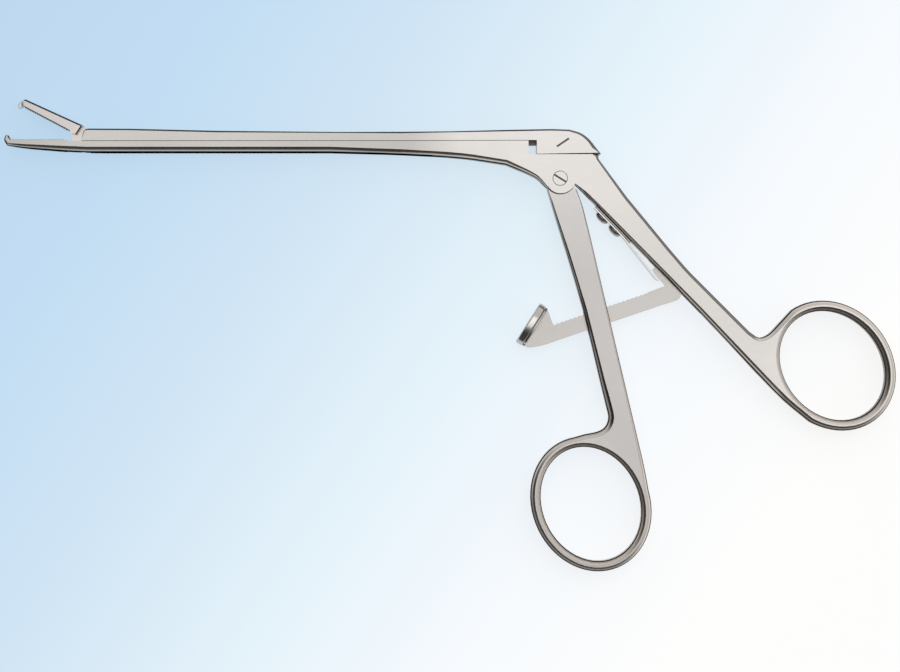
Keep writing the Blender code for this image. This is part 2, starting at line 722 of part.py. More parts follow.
def make_jaw():
    """The upper jaw, made closed and then swung open about its pivot."""
    stations = [
        (-HOOK_CHEEK_END, HOOK_WIDTH / 2),
        (-HOOK_CHEEK_START, JAW_TIP_WIDTH / 2),
        (-3.0, SHAFT_WIDTH / 2),
    ]
    taper = Taper(HOOK_TURN, stations)
    blade = plate(upper_jaw_outline(), SHAFT_WIDTH / 2, (), [taper])
    tang = plate(tang_outline(), TANG_THICKNESS / 2)
    pivot_bore = bore((0.0, 0.0), JAW_PIN_RADIUS + HINGE_GAP, -2.0, 2.0)
    link_bore = bore(LINK_CLOSED, LINK_PIN_RADIUS + LINK_PLAY, -2.0, 2.0)
    swing = Matrix.Rotation(-JAW_OPEN, 4, "Z")
    for mesh in (blade, tang, pivot_bore, link_bore):
        bmesh.ops.transform(mesh, matrix=swing, verts=mesh.verts)
        bmesh.ops.translate(mesh, verts=mesh.verts, vec=(*JAW_PIVOT, 0.0))
    jaw = make_part("upper_jaw", blade, STEEL, origin=JAW_PIVOT)
    add(jaw, tang, "tang", JAW_PIVOT)
    cut(jaw, pivot_bore, "pivot_bore", JAW_PIVOT)
    cut(jaw, link_bore, "link_bore", JAW_PIVOT)
    return jaw


def handle_outline():
    """The front handle's outline: shank, ring, and the shoulder under the lobe."""
    ring_major = RING_HOLE_MAJOR + RING_METAL
    ring_minor = RING_HOLE_MINOR + RING_METAL
    shoulder = LOBE_RADIUS + LOBE_GAP
    outline = Outline(along((0.0, 0.0), math.radians(-142.0), shoulder), 0.2)
    outline.curve([(-1.0, -9.4), (1.5, -17.5), (5.5, -31.2), (9.6, -48.3), (11.1, -54.5)], 1.3, 2)
    outline.curve([(11.65, -57.2), (10.9, -59.4), (9.1, -60.55), (6.0, -61.2)], 1.1, 3)
    outline.oval(
        FRONT_RING, ring_major, ring_minor, FRONT_RING_TILT, 168.0, 440.0, RING_ROUNDING, 50
    )
    outline.curve([(20.3, -69.5), (18.3, -60.7), (14.7, -45.6), (8.95, -21.2)], 0.35, 3)
    outline.curve([(5.5, -7.1), (4.0, -2.9)], 0.2, 2)
    outline.to((3.6, -2.4))
    outline.arc((0.0, 0.0), shoulder, -33.0, -141.0, 0.0, 15)
    return outline


def tongue_outline():
    """The thin tongue that runs from the shank up to the drive screw."""
    outline = Outline((-0.9, -6.5))
    outline.to((4.2, -6.5))
    outline.to((3.5, -3.0))
    outline.to((TONGUE_PIVOT_RADIUS + 0.15, -0.5))
    outline.arc(DRIVE_SCREW, TONGUE_DRIVE_RADIUS, -2.0, 182.0, 0.0, 14)
    outline.to((-TONGUE_PIVOT_RADIUS, -0.5))
    outline.to((-2.4, -3.3))
    return outline


def make_handle():
    """The front handle with its tongue, its bores and the window for the ratchet."""
    hole = ring_hole(FRONT_RING, FRONT_RING_TILT)
    shank = plate(handle_outline(), BODY_WIDTH / 2, [hole], [FRONT_HANDLE_TAPER])
    handle = make_part("front_handle", shank, STEEL)
    add(handle, plate(tongue_outline(), TONGUE_THICKNESS / 2), "tongue")
    pivot_bore = bore((0.0, 0.0), SHANK_RADIUS + HINGE_GAP, -3.0, 3.0)
    cut(handle, pivot_bore, "pivot_bore")
    drive_bore = bore(DRIVE_SCREW, SHANK_RADIUS + LINK_PLAY, -3.0, 3.0)
    cut(handle, drive_bore, "drive_bore")

    way = Vector(RATCHET_TEETH_END) - Vector(RATCHET_TEETH_START)
    way.normalize()
    up = Vector((-way.y, way.x))
    base = Vector(RATCHET_TEETH_START)
    roof = RATCHET_TOOTH_HEIGHT + WINDOW_ABOVE
    floor = -RATCHET_BAR_HEIGHT - WINDOW_BELOW
    window = [
        base + way * WINDOW_FRONT + up * floor,
        base + way * WINDOW_BACK + up * floor,
        base + way * WINDOW_BACK + up * roof,
        base + way * WINDOW_PAWL + up * roof,
        base + way * WINDOW_FRONT + up * (roof + WINDOW_RELIEF),
    ]
    cut(handle, prism(window, -WINDOW_WIDTH / 2, WINDOW_WIDTH / 2), "ratchet_window")
    return handle


def flush_screw(name, place, head_radius, slot_angle):
    """A flush slotted screw that runs through both cheeks of its slot."""
    top = BODY_WIDTH / 2 - HEAD_RECESS
    seat = top - HEAD_HEIGHT
    low = -BODY_WIDTH / 2 + HEAD_RECESS
    profile = [
        (SHANK_RADIUS - SHANK_CHAMFER, low),
        (SHANK_RADIUS, low + SHANK_CHAMFER),
        (SHANK_RADIUS, seat),
        (head_radius, seat),
        (head_radius, top - HEAD_CHAMFER),
        (head_radius - HEAD_CHAMFER, top),
    ]
    screw = make_part(name, turned(profile, (*place, 0.0), steps=SCREW_STEPS), STEEL, 0.4, place)
    half = SCREW_SLOT_WIDTH / 2
    slot = box((-3.0, -half, top - SCREW_SLOT_DEPTH), (3.0, half, top + 1.0))
    turn = Matrix.Rotation(slot_angle, 4, "Z")
    bmesh.ops.transform(slot, matrix=Matrix.Translation((*place, 0.0)) @ turn, verts=slot.verts)
    cut(screw, slot, "driver_slot", place)
    return screw


def ratchet_outline():
    """The ratchet bar with its foot, boss and tail, and the wedge at its free end."""
    start = Vector(RATCHET_TEETH_START)
    end = Vector(RATCHET_TEETH_END)
    way = (end - start).normalized()
    up = Vector((-way.y, way.x))
    outline = Outline(start)
    seat = (Vector(PAD_SEAT_BOTTOM) - Vector(PAD_SEAT_TOP)).normalized()
    inner = Vector((-seat.y, seat.x))
    top = Vector(PAD_SEAT_TOP) + inner * FLANGE_THICKNESS + seat * 0.35
    low = Vector(PAD_SEAT_BOTTOM) + inner * FLANGE_THICKNESS - seat * 0.2
    outline.curve([start + Vector((-0.25, 0.1)), start + Vector((-0.5, 0.5))], 0.0, 2)
    outline.to(top)
    outline.to(low)
    foot = start - up * RATCHET_BAR_HEIGHT
    outline.curve([low + Vector((1.3, -0.35)), foot + way * -4.2, foot], 0.0, 3)
    outline.to(foot + way * 26.0)
    outline.curve([(28.2, -29.05), (28.95, -28.3), (29.1, -27.2)], 0.0, 3)
    outline.arc(RATCHET_PIN, RATCHET_BOSS_RADIUS, -5.0, 150.0, 0.0, 12)
    outline.to(at_edge(27.6, -0.8))
    outline.to(at_edge(27.6, 0.95))
    outline.curve([at_edge(29.0, 1.25), at_edge(30.6, 1.37), at_edge(32.6, 1.47)], 0.0, 2)
    outline.to(end + way * 0.7 + up * 0.35)
    outline.to(end + way * 0.2)
    return outline


def make_ratchet():
    """The ratchet bar with its saw teeth, its flange and the stub that holds the pad."""
    outline = ratchet_outline()
    outline.teeth(RATCHET_TEETH_START, RATCHET_TOOTH_COUNT, RATCHET_TOOTH_HEIGHT, 0.15)
    outline.points.pop()
    outline.roundings.pop()
    bar = plate(outline, RATCHET_THICKNESS / 2)
    ratchet = make_part("ratchet_bar", bar, STEEL, origin=RATCHET_PIN)

    length = (Vector(PAD_SEAT_TOP) - Vector(PAD_SEAT_BOTTOM)).length
    half_length = length / 2 - FLANGE_INSET
    half_width = PAD_WIDTH / 2 - FLANGE_INSET
    flange = oval_disc(half_length, half_width, FLANGE_THICKNESS, FLANGE_ROUNDING)
    move_to_pad(flange, -FLANGE_THICKNESS / 2 - FIXED_GAP / 2)
    add(ratchet, flange, "flange", RATCHET_PIN)
    stub = turned([(STUB_RADIUS, -FLANGE_THICKNESS / 2), (STUB_RADIUS, STUB_LENGTH)])
    move_to_pad(stub, 0.0)
    add(ratchet, stub, "stub", RATCHET_PIN)
    bore_radius = RATCHET_PIN_RADIUS + HINGE_GAP
    cut(ratchet, bore(RATCHET_PIN, bore_radius, -2.0, 2.0), "pin_bore", RATCHET_PIN)
    return ratchet


def oval_disc(half_length, half_width, thickness, rounding=0.0):
    """An oval disc in its own plane, its length along X."""
    outline = Outline((half_length, 0.0), rounding)
    first = 360.0 / PAD_STEPS
    outline.oval(
        (0.0, 0.0), half_length, half_width, 0.0, first, 360.0 - first, rounding, PAD_STEPS - 2
    )
    return plate(outline, thickness / 2)


def move_to_pad(mesh, height):
    """Moves a shape from its own plane to the pad's seat, a height above it."""
    top = Vector(PAD_SEAT_TOP).to_3d()
    bottom = Vector(PAD_SEAT_BOTTOM).to_3d()
    length = (top - bottom).normalized()
    out = Vector((-length.y, length.x, 0.0))
    turn = Matrix((length, -Vector((0.0, 0.0, 1.0)), out)).transposed().to_4x4()
    centre = (top + bottom) / 2 + out * height
    bmesh.ops.transform(mesh, matrix=Matrix.Translation(centre) @ turn, verts=mesh.verts)
    bmesh.ops.recalc_face_normals(mesh, faces=mesh.faces)


def make_pad():
    """The oval finger pad, with a blind hole for the ratchet's stub."""
    length = (Vector(PAD_SEAT_TOP) - Vector(PAD_SEAT_BOTTOM)).length
    disc = oval_disc(length / 2, PAD_WIDTH / 2, PAD_THICKNESS, PAD_ROUNDING)
    move_to_pad(disc, PAD_THICKNESS / 2 + FIXED_GAP / 2)
    pad = make_part("finger_pad", disc, POLISHED, 0.25, RATCHET_PIN)
    radius = STUB_RADIUS + FIXED_GAP
    hole = turned([(radius, -1.0), (radius, STUB_LENGTH + STUB_RELIEF)])
    move_to_pad(hole, 0.0)
    cut(pad, hole, "stub_hole", RATCHET_PIN)
    return pad


def strip(places, thickness, half_width):
    """A strip bent along places that are given as (along, out) from the inner edge."""
    line = [Vector(place) for place in places]
    lower = []
    upper = []
    for i, place in enumerate(line):
        way = (line[min(i + 1, len(line) - 1)] - line[max(i - 1, 0)]).normalized()
        side = Vector((-way.y, way.x)) * thickness / 2
        lower.append(at_edge(*(place - side)))
        upper.append(at_edge(*(place + side)))
    return prism(lower + upper[::-1], -half_width, half_width)


def make_backing():
    """The short strip that lies between the inner edge and the spring."""
    middle = FIXED_GAP + BACKING_THICKNESS / 2
    places = [(SPRING_START, middle), (BACKING_END, middle)]
    backing = strip(places, BACKING_THICKNESS, BACKING_WIDTH / 2)
    made = make_part("spring_backing_strip", backing, POLISHED, 0.3)
    drill_strip(made)
    return made


def make_spring():
    """The leaf spring, rising to the ratchet's tail and turned in at its tip."""
    middle = 2 * FIXED_GAP + BACKING_THICKNESS + SPRING_THICKNESS / 2
    places = [(SPRING_START, middle), (SPRING_FLAT_END, middle), (SPRING_BEND, SPRING_LIFT)]
    leaf = strip(places + SPRING_TIP, SPRING_THICKNESS, SPRING_WIDTH / 2)
    spring = make_part("ratchet_spring", leaf, POLISHED, 0.3)
    drill_strip(spring)
    return spring


def drill_strip(part):
    """Drills the two screw holes through a strip."""
    for name, distance in zip(("upper", "lower"), DOME_SCREWS):
        radius = DOME_SHANK_RADIUS + FIXED_GAP
        hole = turned([(radius, -1.0), (radius, 3.0)], (*at_edge(distance, 0.0), 0.0), EDGE_OUTWARD)
        cut(part, hole, f"{name}_hole")


def dome_screw(name, distance):
    """A dome-head screw whose axis stands square on the inner edge."""
    seat = 3 * FIXED_GAP + SPRING_THICKNESS + BACKING_THICKNESS
    low = seat - DOME_SHANK_LENGTH
    profile = [
        (DOME_SHANK_RADIUS - DOME_CHAMFER, low),
        (DOME_SHANK_RADIUS, low + DOME_CHAMFER),
        (DOME_SHANK_RADIUS, seat),
        (DOME_RADIUS - DOME_BASE_CHAMFER, seat),
    ]
    for step in range(CURVE_STEPS + 1):
        turn = math.radians(85.0) * step / CURVE_STEPS
        rise = seat + DOME_RIM + (DOME_HEIGHT - DOME_RIM) * math.sin(turn)
        profile.append((DOME_RADIUS * math.cos(turn), rise))
    place = at_edge(distance, 0.0)
    screw = make_part(name, turned(profile, (*place, 0.0), EDGE_OUTWARD), DARK_STEEL, 0.35, place)
    half = SCREW_SLOT_WIDTH / 2
    top = seat + DOME_HEIGHT
    slot = box((-3.0, -half, top - DOME_SLOT_DEPTH), (3.0, half, top + 1.0))
    turn = Vector(EDGE_OUTWARD).to_track_quat("Z", "Y").to_matrix().to_4x4()
    bmesh.ops.transform(slot, matrix=Matrix.Translation((*place, 0.0)) @ turn, verts=slot.verts)
    cut(screw, slot, "driver_slot", place)
    return screw


def main():
    """Builds the whole instrument."""
    for old in list(bpy.data.objects):
        bpy.data.objects.remove(old)
    bpy.context.scene.unit_settings.system = "METRIC"
    make_frame()
    make_slide()
    make_jaw()
    make_handle()
    make_ratchet()
    make_pad()
    make_backing()
    make_spring()
    flush_screw("handle_pivot_screw", (0.0, 0.0), PIVOT_HEAD_RADIUS, PIVOT_SLOT_ANGLE)
    flush_screw("drive_screw", DRIVE_SCREW, DRIVE_HEAD_RADIUS, DRIVE_SLOT_ANGLE)
    for name, distance in zip(("upper", "lower"), DOME_SCREWS):
        dome_screw(f"spring_screw_{name}", distance)
    half = SHAFT_WIDTH / 2 - PIN_COVER
    jaw_pin = pin(JAW_PIVOT, JAW_PIN_RADIUS, -half, half)
    make_part("jaw_pivot_pin", jaw_pin, STEEL, 0.4, JAW_PIVOT)
    link_pin = pin(LINK_PIN, LINK_PIN_RADIUS, -half, half)
    make_part("jaw_link_pin", link_pin, STEEL, 0.4, LINK_PIN)
    ratchet_pin = pin(RATCHET_PIN, RATCHET_PIN_RADIUS, RATCHET_PIN_LOW, RATCHET_PIN_HIGH)
    make_part("ratchet_pin", ratchet_pin, STEEL, 0.4, RATCHET_PIN)


main()
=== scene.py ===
"""A studio picture of an arthroscopic grasping forceps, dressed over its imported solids.

All lengths are in metres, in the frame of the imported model: the instrument lies on its
side with the jaws at -X, the finger rings towards -Y and its near side facing +Z. The
camera looks straight down on it, as in the photograph.
"""

import json
import logging
import math
from collections.abc import Callable, Iterable
from dataclasses import dataclass, field, replace
from enum import Enum
from typing import Any

import bmesh
import bpy
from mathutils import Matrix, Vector

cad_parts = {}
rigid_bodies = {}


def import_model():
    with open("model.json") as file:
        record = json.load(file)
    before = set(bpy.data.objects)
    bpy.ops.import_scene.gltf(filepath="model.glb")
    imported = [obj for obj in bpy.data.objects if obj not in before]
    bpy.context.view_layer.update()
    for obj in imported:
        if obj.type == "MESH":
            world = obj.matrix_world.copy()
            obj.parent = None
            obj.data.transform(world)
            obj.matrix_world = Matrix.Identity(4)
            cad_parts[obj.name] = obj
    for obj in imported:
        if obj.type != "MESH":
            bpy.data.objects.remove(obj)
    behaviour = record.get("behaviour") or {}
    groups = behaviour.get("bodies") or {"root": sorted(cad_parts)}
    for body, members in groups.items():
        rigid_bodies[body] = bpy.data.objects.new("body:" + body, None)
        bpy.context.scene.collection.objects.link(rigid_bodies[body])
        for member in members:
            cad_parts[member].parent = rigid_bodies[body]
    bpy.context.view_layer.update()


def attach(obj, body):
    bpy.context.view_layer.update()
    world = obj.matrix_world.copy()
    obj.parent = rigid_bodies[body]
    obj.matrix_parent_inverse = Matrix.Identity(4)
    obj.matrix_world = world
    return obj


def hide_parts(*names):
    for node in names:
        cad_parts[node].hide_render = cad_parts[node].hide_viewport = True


LOG = logging.getLogger("forceps")

MM = 0.001
PIVOT = Vector((0.0263, 0.03753, 0.0033))

Colour = tuple[float, float, float]
# A place in the side view, in millimetres from the handle's pivot
Place = tuple[float, float]
# A number, a colour or a wire
Value = Any

HUB: Place = (0.0, 0.0)
DRIVE_SCREW: Place = (0.65, 8.545)
JAW_PIVOT: Place = (-114.24, 7.7)
FRONT_RING: Place = (7.46, -77.89)
REAR_RING: Place = (65.32, -44.76)
# How far these reach from their middles, likewise
RING_REACH = 19.5
HUB_RIM_START = 2.5
HUB_REACH = 4.6
DRIVE_BORE_REACH = 2.4
# Heights over the middle plane, in metres: what lies lower is a slot's or a screw slot's floor,
# which gets painted shade
SLOT_LEVEL = 1.45 * MM
SCREW_LEVEL = 3.12 * MM
# The drive screw's head: its rim and its bore's radius in millimetres, its top in metres
HEAD_RIM = 1.55
BORE_RADIUS = 1.745
HEAD_TOP = 3.26 * MM
HEAD_WELD = 0.01 * MM

# Up to which part of its normal along Z a face counts as bent off the flats
BENT_NORMAL = 0.97
# How far a normal leans to a side before its face counts as facing it
SLIGHT_LEAN = 0.1
BACK_LEAN = 0.15
CLEAR_LEAN = 0.2
STRONG_LEAN = 0.3
# What the painted shade methods say of a face that stays light and gets none, even where it is
# steep
STAYS_LIGHT = -1.0
# The finger rings: their dark side and shade, and how the shade grows with turn and slope
RING_SIDE = (-0.5, -0.85)
RING_SHADE = 0.95
RING_TURN_RISE = (-0.05, 1.5)
RING_SLOPE_RISE = (0.4, 8.0)

# The sRGB curve: its straight part's end and slope, then its offset and power
SRGB_KNEE, SRGB_SLOPE, SRGB_OFFSET, SRGB_POWER = 0.04045, 12.92, 0.055, 2.4

# The loop attributes that the finishes read: the tilt, and the masks of painted shade in recesses
# and on marked faces
MARK_LAYERS = ("tilt", "recess", "burnish")
# How closely the brush lines' noise is squeezed along, across and through them
LINE_SCALE = (260.0, 5200.0, 2600.0)
# Over the tilt, as a share of a right angle: where each change starts and how fast it grows
RIM_RISE = (0.12, 12.0)
# BEND_RISE places the painted highlight on the rims
BEND_RISE = (0.3, 5.0)
# STEEP_RISE places the painted shade on the rims' steep part, WALL_RISE spares walls some of it
STEEP_RISE = (0.56, 7.0)
WALL_RISE = (0.93, 20.0)
# The same over the height above the middle plane, in metres, for walls with painted shade, whose
# middle stays lighter
MIDDLE_RISE = (0.2 * MM, 1.0 / (0.9 * MM))
# How much less painted shade a wall gets than a steep rim
WALL_RELIEF = 0.8
# Over which length the shaft's painted shade goes over into the hub's lighter tone, in metres
SHAFT_SHADE_LENGTH = 12.0 * MM
# How much the grain and the brush lines change the tone, the roughness and the height
GRAIN_TONE, LINE_TONE = 0.05, 0.04
LINE_ROUGHNESS, CLOUD_ROUGHNESS = 0.1, 0.08
GRAIN_HEIGHT, RIM_SMOOTHING = 0.35, 0.7


class Slot(Enum):
    """The record's material slots."""

    SATIN = "satin_steel"
    POLISHED = "polished_steel"
    DARK = "dark_steel"


class Body(Enum):
    """The bodies that move apart from each other."""

    FRAME = "frame"
    SLIDE = "slide"
    JAW = "jaw"
    HANDLE = "front_handle"
    RATCHET = "ratchet"


def to_linear(red: int, green: int, blue: int) -> Colour:
    """Turns a screen colour into the linear one that shaders use.

    Args:
        red: Red, from 0 to 255.
        green: Green, from 0 to 255.
        blue: Blue, from 0 to 255.

    Returns:
        The three linear channels, from 0 to 1.
    """
    channels = []
    for level in (red, green, blue):
        share = level / 255
        curve = ((share + SRGB_OFFSET) / (1.0 + SRGB_OFFSET)) ** SRGB_POWER
        channels.append(share / SRGB_SLOPE if share <= SRGB_KNEE else curve)
    return (channels[0], channels[1], channels[2])


class Wire:
    """One output of a shader node, which sums and products can be written with."""

    def __init__(self, tree: "ShaderTree", socket: bpy.types.NodeSocket) -> None:
        """Keeps the socket and the tree that it belongs to."""
        self.tree = tree
        self.socket = socket

    def _math(self, operation: str, first: Value, second: Value = 0.0) -> "Wire":
        """Adds the Math node that an operator stands for.

        Args:
            operation: The Math node's operation.
            first: Its first value or wire.
            second: Its second value or wire.

        Returns:
            The node's result.
        """
        return self.tree.node("ShaderNodeMath", {"operation": operation}, {0: first, 1: second})

    def __add__(self, other: Value) -> "Wire":
        """Adds a value or a wire."""
        return self._math("ADD", self, other)

    def __radd__(self, other: Value) -> "Wire":
        """Adds this wire to a value."""
        return self._math("ADD", other, self)

    def __sub__(self, other: Value) -> "Wire":
        """Takes a value or a wire away."""
        return self._math("SUBTRACT", self, other)

    def __rsub__(self, other: Value) -> "Wire":
        """Takes this wire away from a value."""
        return self._math("SUBTRACT", other, self)

    def __mul__(self, other: Value) -> "Wire":
        """Multiplies by a value or a wire."""
        return self._math("MULTIPLY", self, other)

    def __rmul__(self, other: Value) -> "Wire":
        """Multiplies a value by this wire."""
        return self._math("MULTIPLY", other, self)

    def at_most(self, level: Value) -> "Wire":
        """The smaller of this and a value."""
        return self._math("MINIMUM", self, level)

    def at_least(self, level: Value) -> "Wire":
        """The larger of this and a value."""
        return self._math("MAXIMUM", self, level)

    def clamped(self) -> "Wire":
        """This, kept between nought and one."""
        return self.at_least(0.0).at_most(1.0)

    def size(self) -> "Wire":
        """This without its sign."""
        return self._math("ABSOLUTE", self)

    def rise(self, start: float, gain: float) -> "Wire":
        """Nought up to a start, then growing by a gain until it is one."""
        return ((self - start) * gain).clamped()

    def sibling(self, name: str) -> "Wire":
        """Another output of the node that this one comes from."""
        return Wire(self.tree, self.socket.node.outputs[name])


@dataclass(frozen=True)
class Noise:
    """How a noise texture is set.

    Attributes:
        scale: Its scale, for places in metres.
        detail: How many finer layers it has.
        roughness: How strong these layers are.
    """

    scale: float
    detail: float
    roughness: float


LINES = Noise(1.0, 3.0, 0.6)
GRAIN = Noise(2600.0, 2.0, 0.5)
CLOUDS = Noise(48.0, 3.0, 0.55)
WASHES = Noise(17.0, 1.0, 0.5)
SMEARS = Noise(420.0, 4.0, 0.6)
SCRATCHES = Noise(3500.0, 2.0, 0.5)


class ShaderTree:
    """The node tree of a material, a world or a lamp."""

    def __init__(self, tree: bpy.types.NodeTree) -> None:
        """Empties the tree, ready for its nodes."""
        self.tree = tree
        tree.nodes.clear()

    def node(
        self,
        kind: str,
        settings: dict[str, Any] | None = None,
        inputs: dict[Any, Value] | None = None,
        output: int | str = 0,
    ) -> Wire:
        """Adds a node, makes its settings first and then fills its sockets.

        Args:
            kind: The node's type.
            settings: Its own settings by name; "stops" gives a ramp's places and colours.
            inputs: The values or wires of its sockets, by name or number.
            output: The socket that the caller goes on with.

        Returns:
            That output socket as a wire.
        """
        made = self.tree.nodes.new(kind)
        for name, value in (settings or {}).items():
            if name == "stops":
                self._set_stops(made.color_ramp, value)
            else:
                setattr(made, name, value)
        for name, value in (inputs or {}).items():
            if isinstance(value, Wire):
                self.tree.links.new(value.socket, made.inputs[name])
            else:
                made.inputs[name].default_value = value
        return Wire(self, made.outputs[output] if made.outputs else None)

    @staticmethod
    def _set_stops(ramp: bpy.types.ColorRamp, stops: Iterable[tuple[float, Colour]]) -> None:
        """Sets a ramp's stops.

        Args:
            ramp: The ramp to set.
            stops: Each stop's place and colour.
        """
        while len(ramp.elements) > 1:
            ramp.elements.remove(ramp.elements[-1])
        for number, (place, colour) in enumerate(stops):
            stop = ramp.elements[0] if number == 0 else ramp.elements.new(place)
            stop.position = place
            stop.color = (*colour, 1.0)

    def blend(self, share: Value, first: Value, second: Value) -> Wire:
        """Mixes two colours.

        Args:
            share: How much of the second shows.
            first: The first colour or wire.
            second: The second colour or wire.

        Returns:
            The mixed colour.
        """
        kinds = {"data_type": "RGBA", "blend_type": "MIX", "clamp_factor": True}
        return self.node("ShaderNodeMix", kinds, {0: share, 6: first, 7: second}, 2)

    def noise(self, place: Wire, noise: Noise) -> Wire:
        """Adds a noise texture.

        Args:
            place: Where it is read.
            noise: How it is set.

        Returns:
            Its value, round about a half.
        """
        inputs = {"Vector": place, "Scale": noise.scale, "Detail": noise.detail}
        inputs["Roughness"] = noise.roughness
        return self.node("ShaderNodeTexNoise", {}, inputs)

    def end_in_metal(self, looks: dict[str, Value]) -> None:
        """Ends the tree in a metal's shader.

        Args:
            looks: The shader's inputs by name, apart from Metallic.
        """
        shader = self.node("ShaderNodeBsdfPrincipled", {}, {"Metallic": 1.0, **looks})
        self.node("ShaderNodeOutputMaterial", {}, {"Surface": shader})


def new_material(name: str) -> tuple[bpy.types.Material, ShaderTree]:
    """Makes a material with an empty shader tree.

    Args:
        name: The material's name.

    Returns:
        The material and its tree.
    """
    material = bpy.data.materials.new(name)
    material.use_nodes = True
    return material, ShaderTree(material.node_tree)


def add_object(name: str, data: bpy.types.ID) -> bpy.types.Object:
    """Adds an object to the scene, at the origin.

    Args:
        name: The object's name.
        data: Its mesh, lamp or camera.

    Returns:
        The object.
    """
    made = bpy.data.objects.new(name, data)
    bpy.context.scene.collection.objects.link(made)
    return made


@dataclass(frozen=True)
class BrushedFinish:
    """Steel ground to a satin: fine lines along one way, a faint grain and soft clouds, with
    painted highlight and painted shade on the rims and painted shade in recesses and along the
    shaft.

    Attributes:
        name: The material's name.
        slot: The record's slot that it stands for.
        colour: The flats' reflected colour.
        rim_highlight_colour: The rims' lighter colour, a painted highlight.
        rim_shade_colour: The dark colour painted as shade on the rims' steep outer part and on the
            marked faces.
        grazing_tone: The tint of what the steel reflects at a grazing angle.
        rim_shade_grazing_tone: The same for the steep parts of the rims, set low in a darker copy
            of the material as painted shade.
        recess_shade_tone: How light the floors of slots and recesses are, next to the flats, a
            painted shade.
        roughness: The flats' roughness.
        edge_roughness: The rims' roughness.
        lines_at: The way of the brush lines in the side view, in degrees.
        line_depth: How deep the brush lines are, in metres.
        cloud: How much the soft clouds change the tone.
        wash: How much the tone changes over the length of the instrument.
        shaft_shade_at: Where along X the shaft's painted shade goes over into the hub's lighter
            tone, in metres.
        shaft_shade_tone: How light the shaft is next to the hub, a painted shade.
    """

    name: str
    slot: Slot
    colour: Colour = (0.61, 0.587, 0.563)
    rim_highlight_colour: Colour = (0.78, 0.69, 0.61)
    rim_shade_colour: Colour = (0.065, 0.058, 0.053)
    grazing_tone: float = 0.8
    rim_shade_grazing_tone: float = 0.25
    recess_shade_tone: float = 0.15
    roughness: float = 0.32
    edge_roughness: float = 0.22
    lines_at: float = 0.0
    line_depth: float = 3e-6
    cloud: float = 0.13
    wash: float = 0.2
    shaft_shade_at: float = -3.6 * MM
    shaft_shade_tone: float = 1.0

    def make(self) -> bpy.types.Material:
        """Builds the material.

        Returns:
            The finished material.
        """
        material, tree = new_material(self.name)
        place = tree.node("ShaderNodeTexCoord", output="Object")
        turn = (0.0, 0.0, -math.radians(self.lines_at))
        turned = tree.node("ShaderNodeMapping", {}, {"Vector": place, "Rotation": turn})
        stretched = tree.node(
            "ShaderNodeVectorMath", {"operation": "MULTIPLY"}, {0: turned, 1: LINE_SCALE}
        )
        lines = tree.noise(stretched, LINES)
        grain = tree.noise(place, GRAIN)
        clouds = tree.noise(place, CLOUDS)
        washes = tree.noise(place, WASHES)
        tilt, recess, burnish = (
            tree.node("ShaderNodeAttribute", {"attribute_name": name}, output="Fac")
            for name in MARK_LAYERS
        )
        along = tree.node("ShaderNodeSeparateXYZ", {}, {"Vector": place})
        off_middle = (along.sibling("Z") - PIVOT.z).size().rise(*MIDDLE_RISE)
        rim = tilt.rise(*RIM_RISE)
        wall = tilt.rise(*WALL_RISE)
        # Painted shade mask: the steep part of the rims, walls less so, and the marked faces
        steep = tilt.rise(*STEEP_RISE) * (1.0 - WALL_RELIEF * wall)
        dark = burnish * (1.0 - wall * (1.0 - off_middle))
        steep = (steep * (1.0 + burnish.at_most(0.0))).at_least(dark)
        bend = tilt.rise(*BEND_RISE)
        tone = 1.0 + self.cloud * 2.0 * (clouds - 0.5)
        tone = tone + GRAIN_TONE * (grain - 0.5) + LINE_TONE * (lines - 0.5)
        tone = tone + self.wash * 2.0 * (washes - 0.5)
        # Painted shade: the shaft is darker than the hub
        near = ((along - self.shaft_shade_at) * (1.0 / SHAFT_SHADE_LENGTH) + 0.5).clamped()
        tone = tone * (self.shaft_shade_tone + (1.0 - self.shaft_shade_tone) * near)
        # Painted shade on the floors of slots and recesses
        tone = tone * (1.0 - (1.0 - self.recess_shade_tone) * recess)
        # Painted highlight: the rims blend towards the lighter rim colour
        rim_highlighted = tree.blend(bend, (*self.colour, 1.0), (*self.rim_highlight_colour, 1.0))
        # Painted shade: the steep part of the rims and the marked faces blend towards the dark rim
        # colour
        plain = tree.blend(steep, rim_highlighted, (*self.rim_shade_colour, 1.0))
        colour = tree.node(
            "ShaderNodeVectorMath", {"operation": "SCALE"}, {0: plain, "Scale": tone}
        )
        rough = (
            self.roughness
            + rim * (self.edge_roughness - self.roughness)
            + LINE_ROUGHNESS * (lines - 0.5)
            + CLOUD_ROUGHNESS * (clouds - 0.5)
        )
        height = lines * (1.0 - RIM_SMOOTHING * rim) + GRAIN_HEIGHT * grain
        normal = tree.node(
            "ShaderNodeBump", {}, {"Strength": 1.0, "Distance": self.line_depth, "Height": height}
        )
        grazing = (self.grazing_tone, self.grazing_tone, self.grazing_tone, 1.0)
        looks = {"Base Color": colour, "Roughness": rough, "Normal": normal}
        tree.end_in_metal({**looks, "Specular Tint": grazing})
        return material


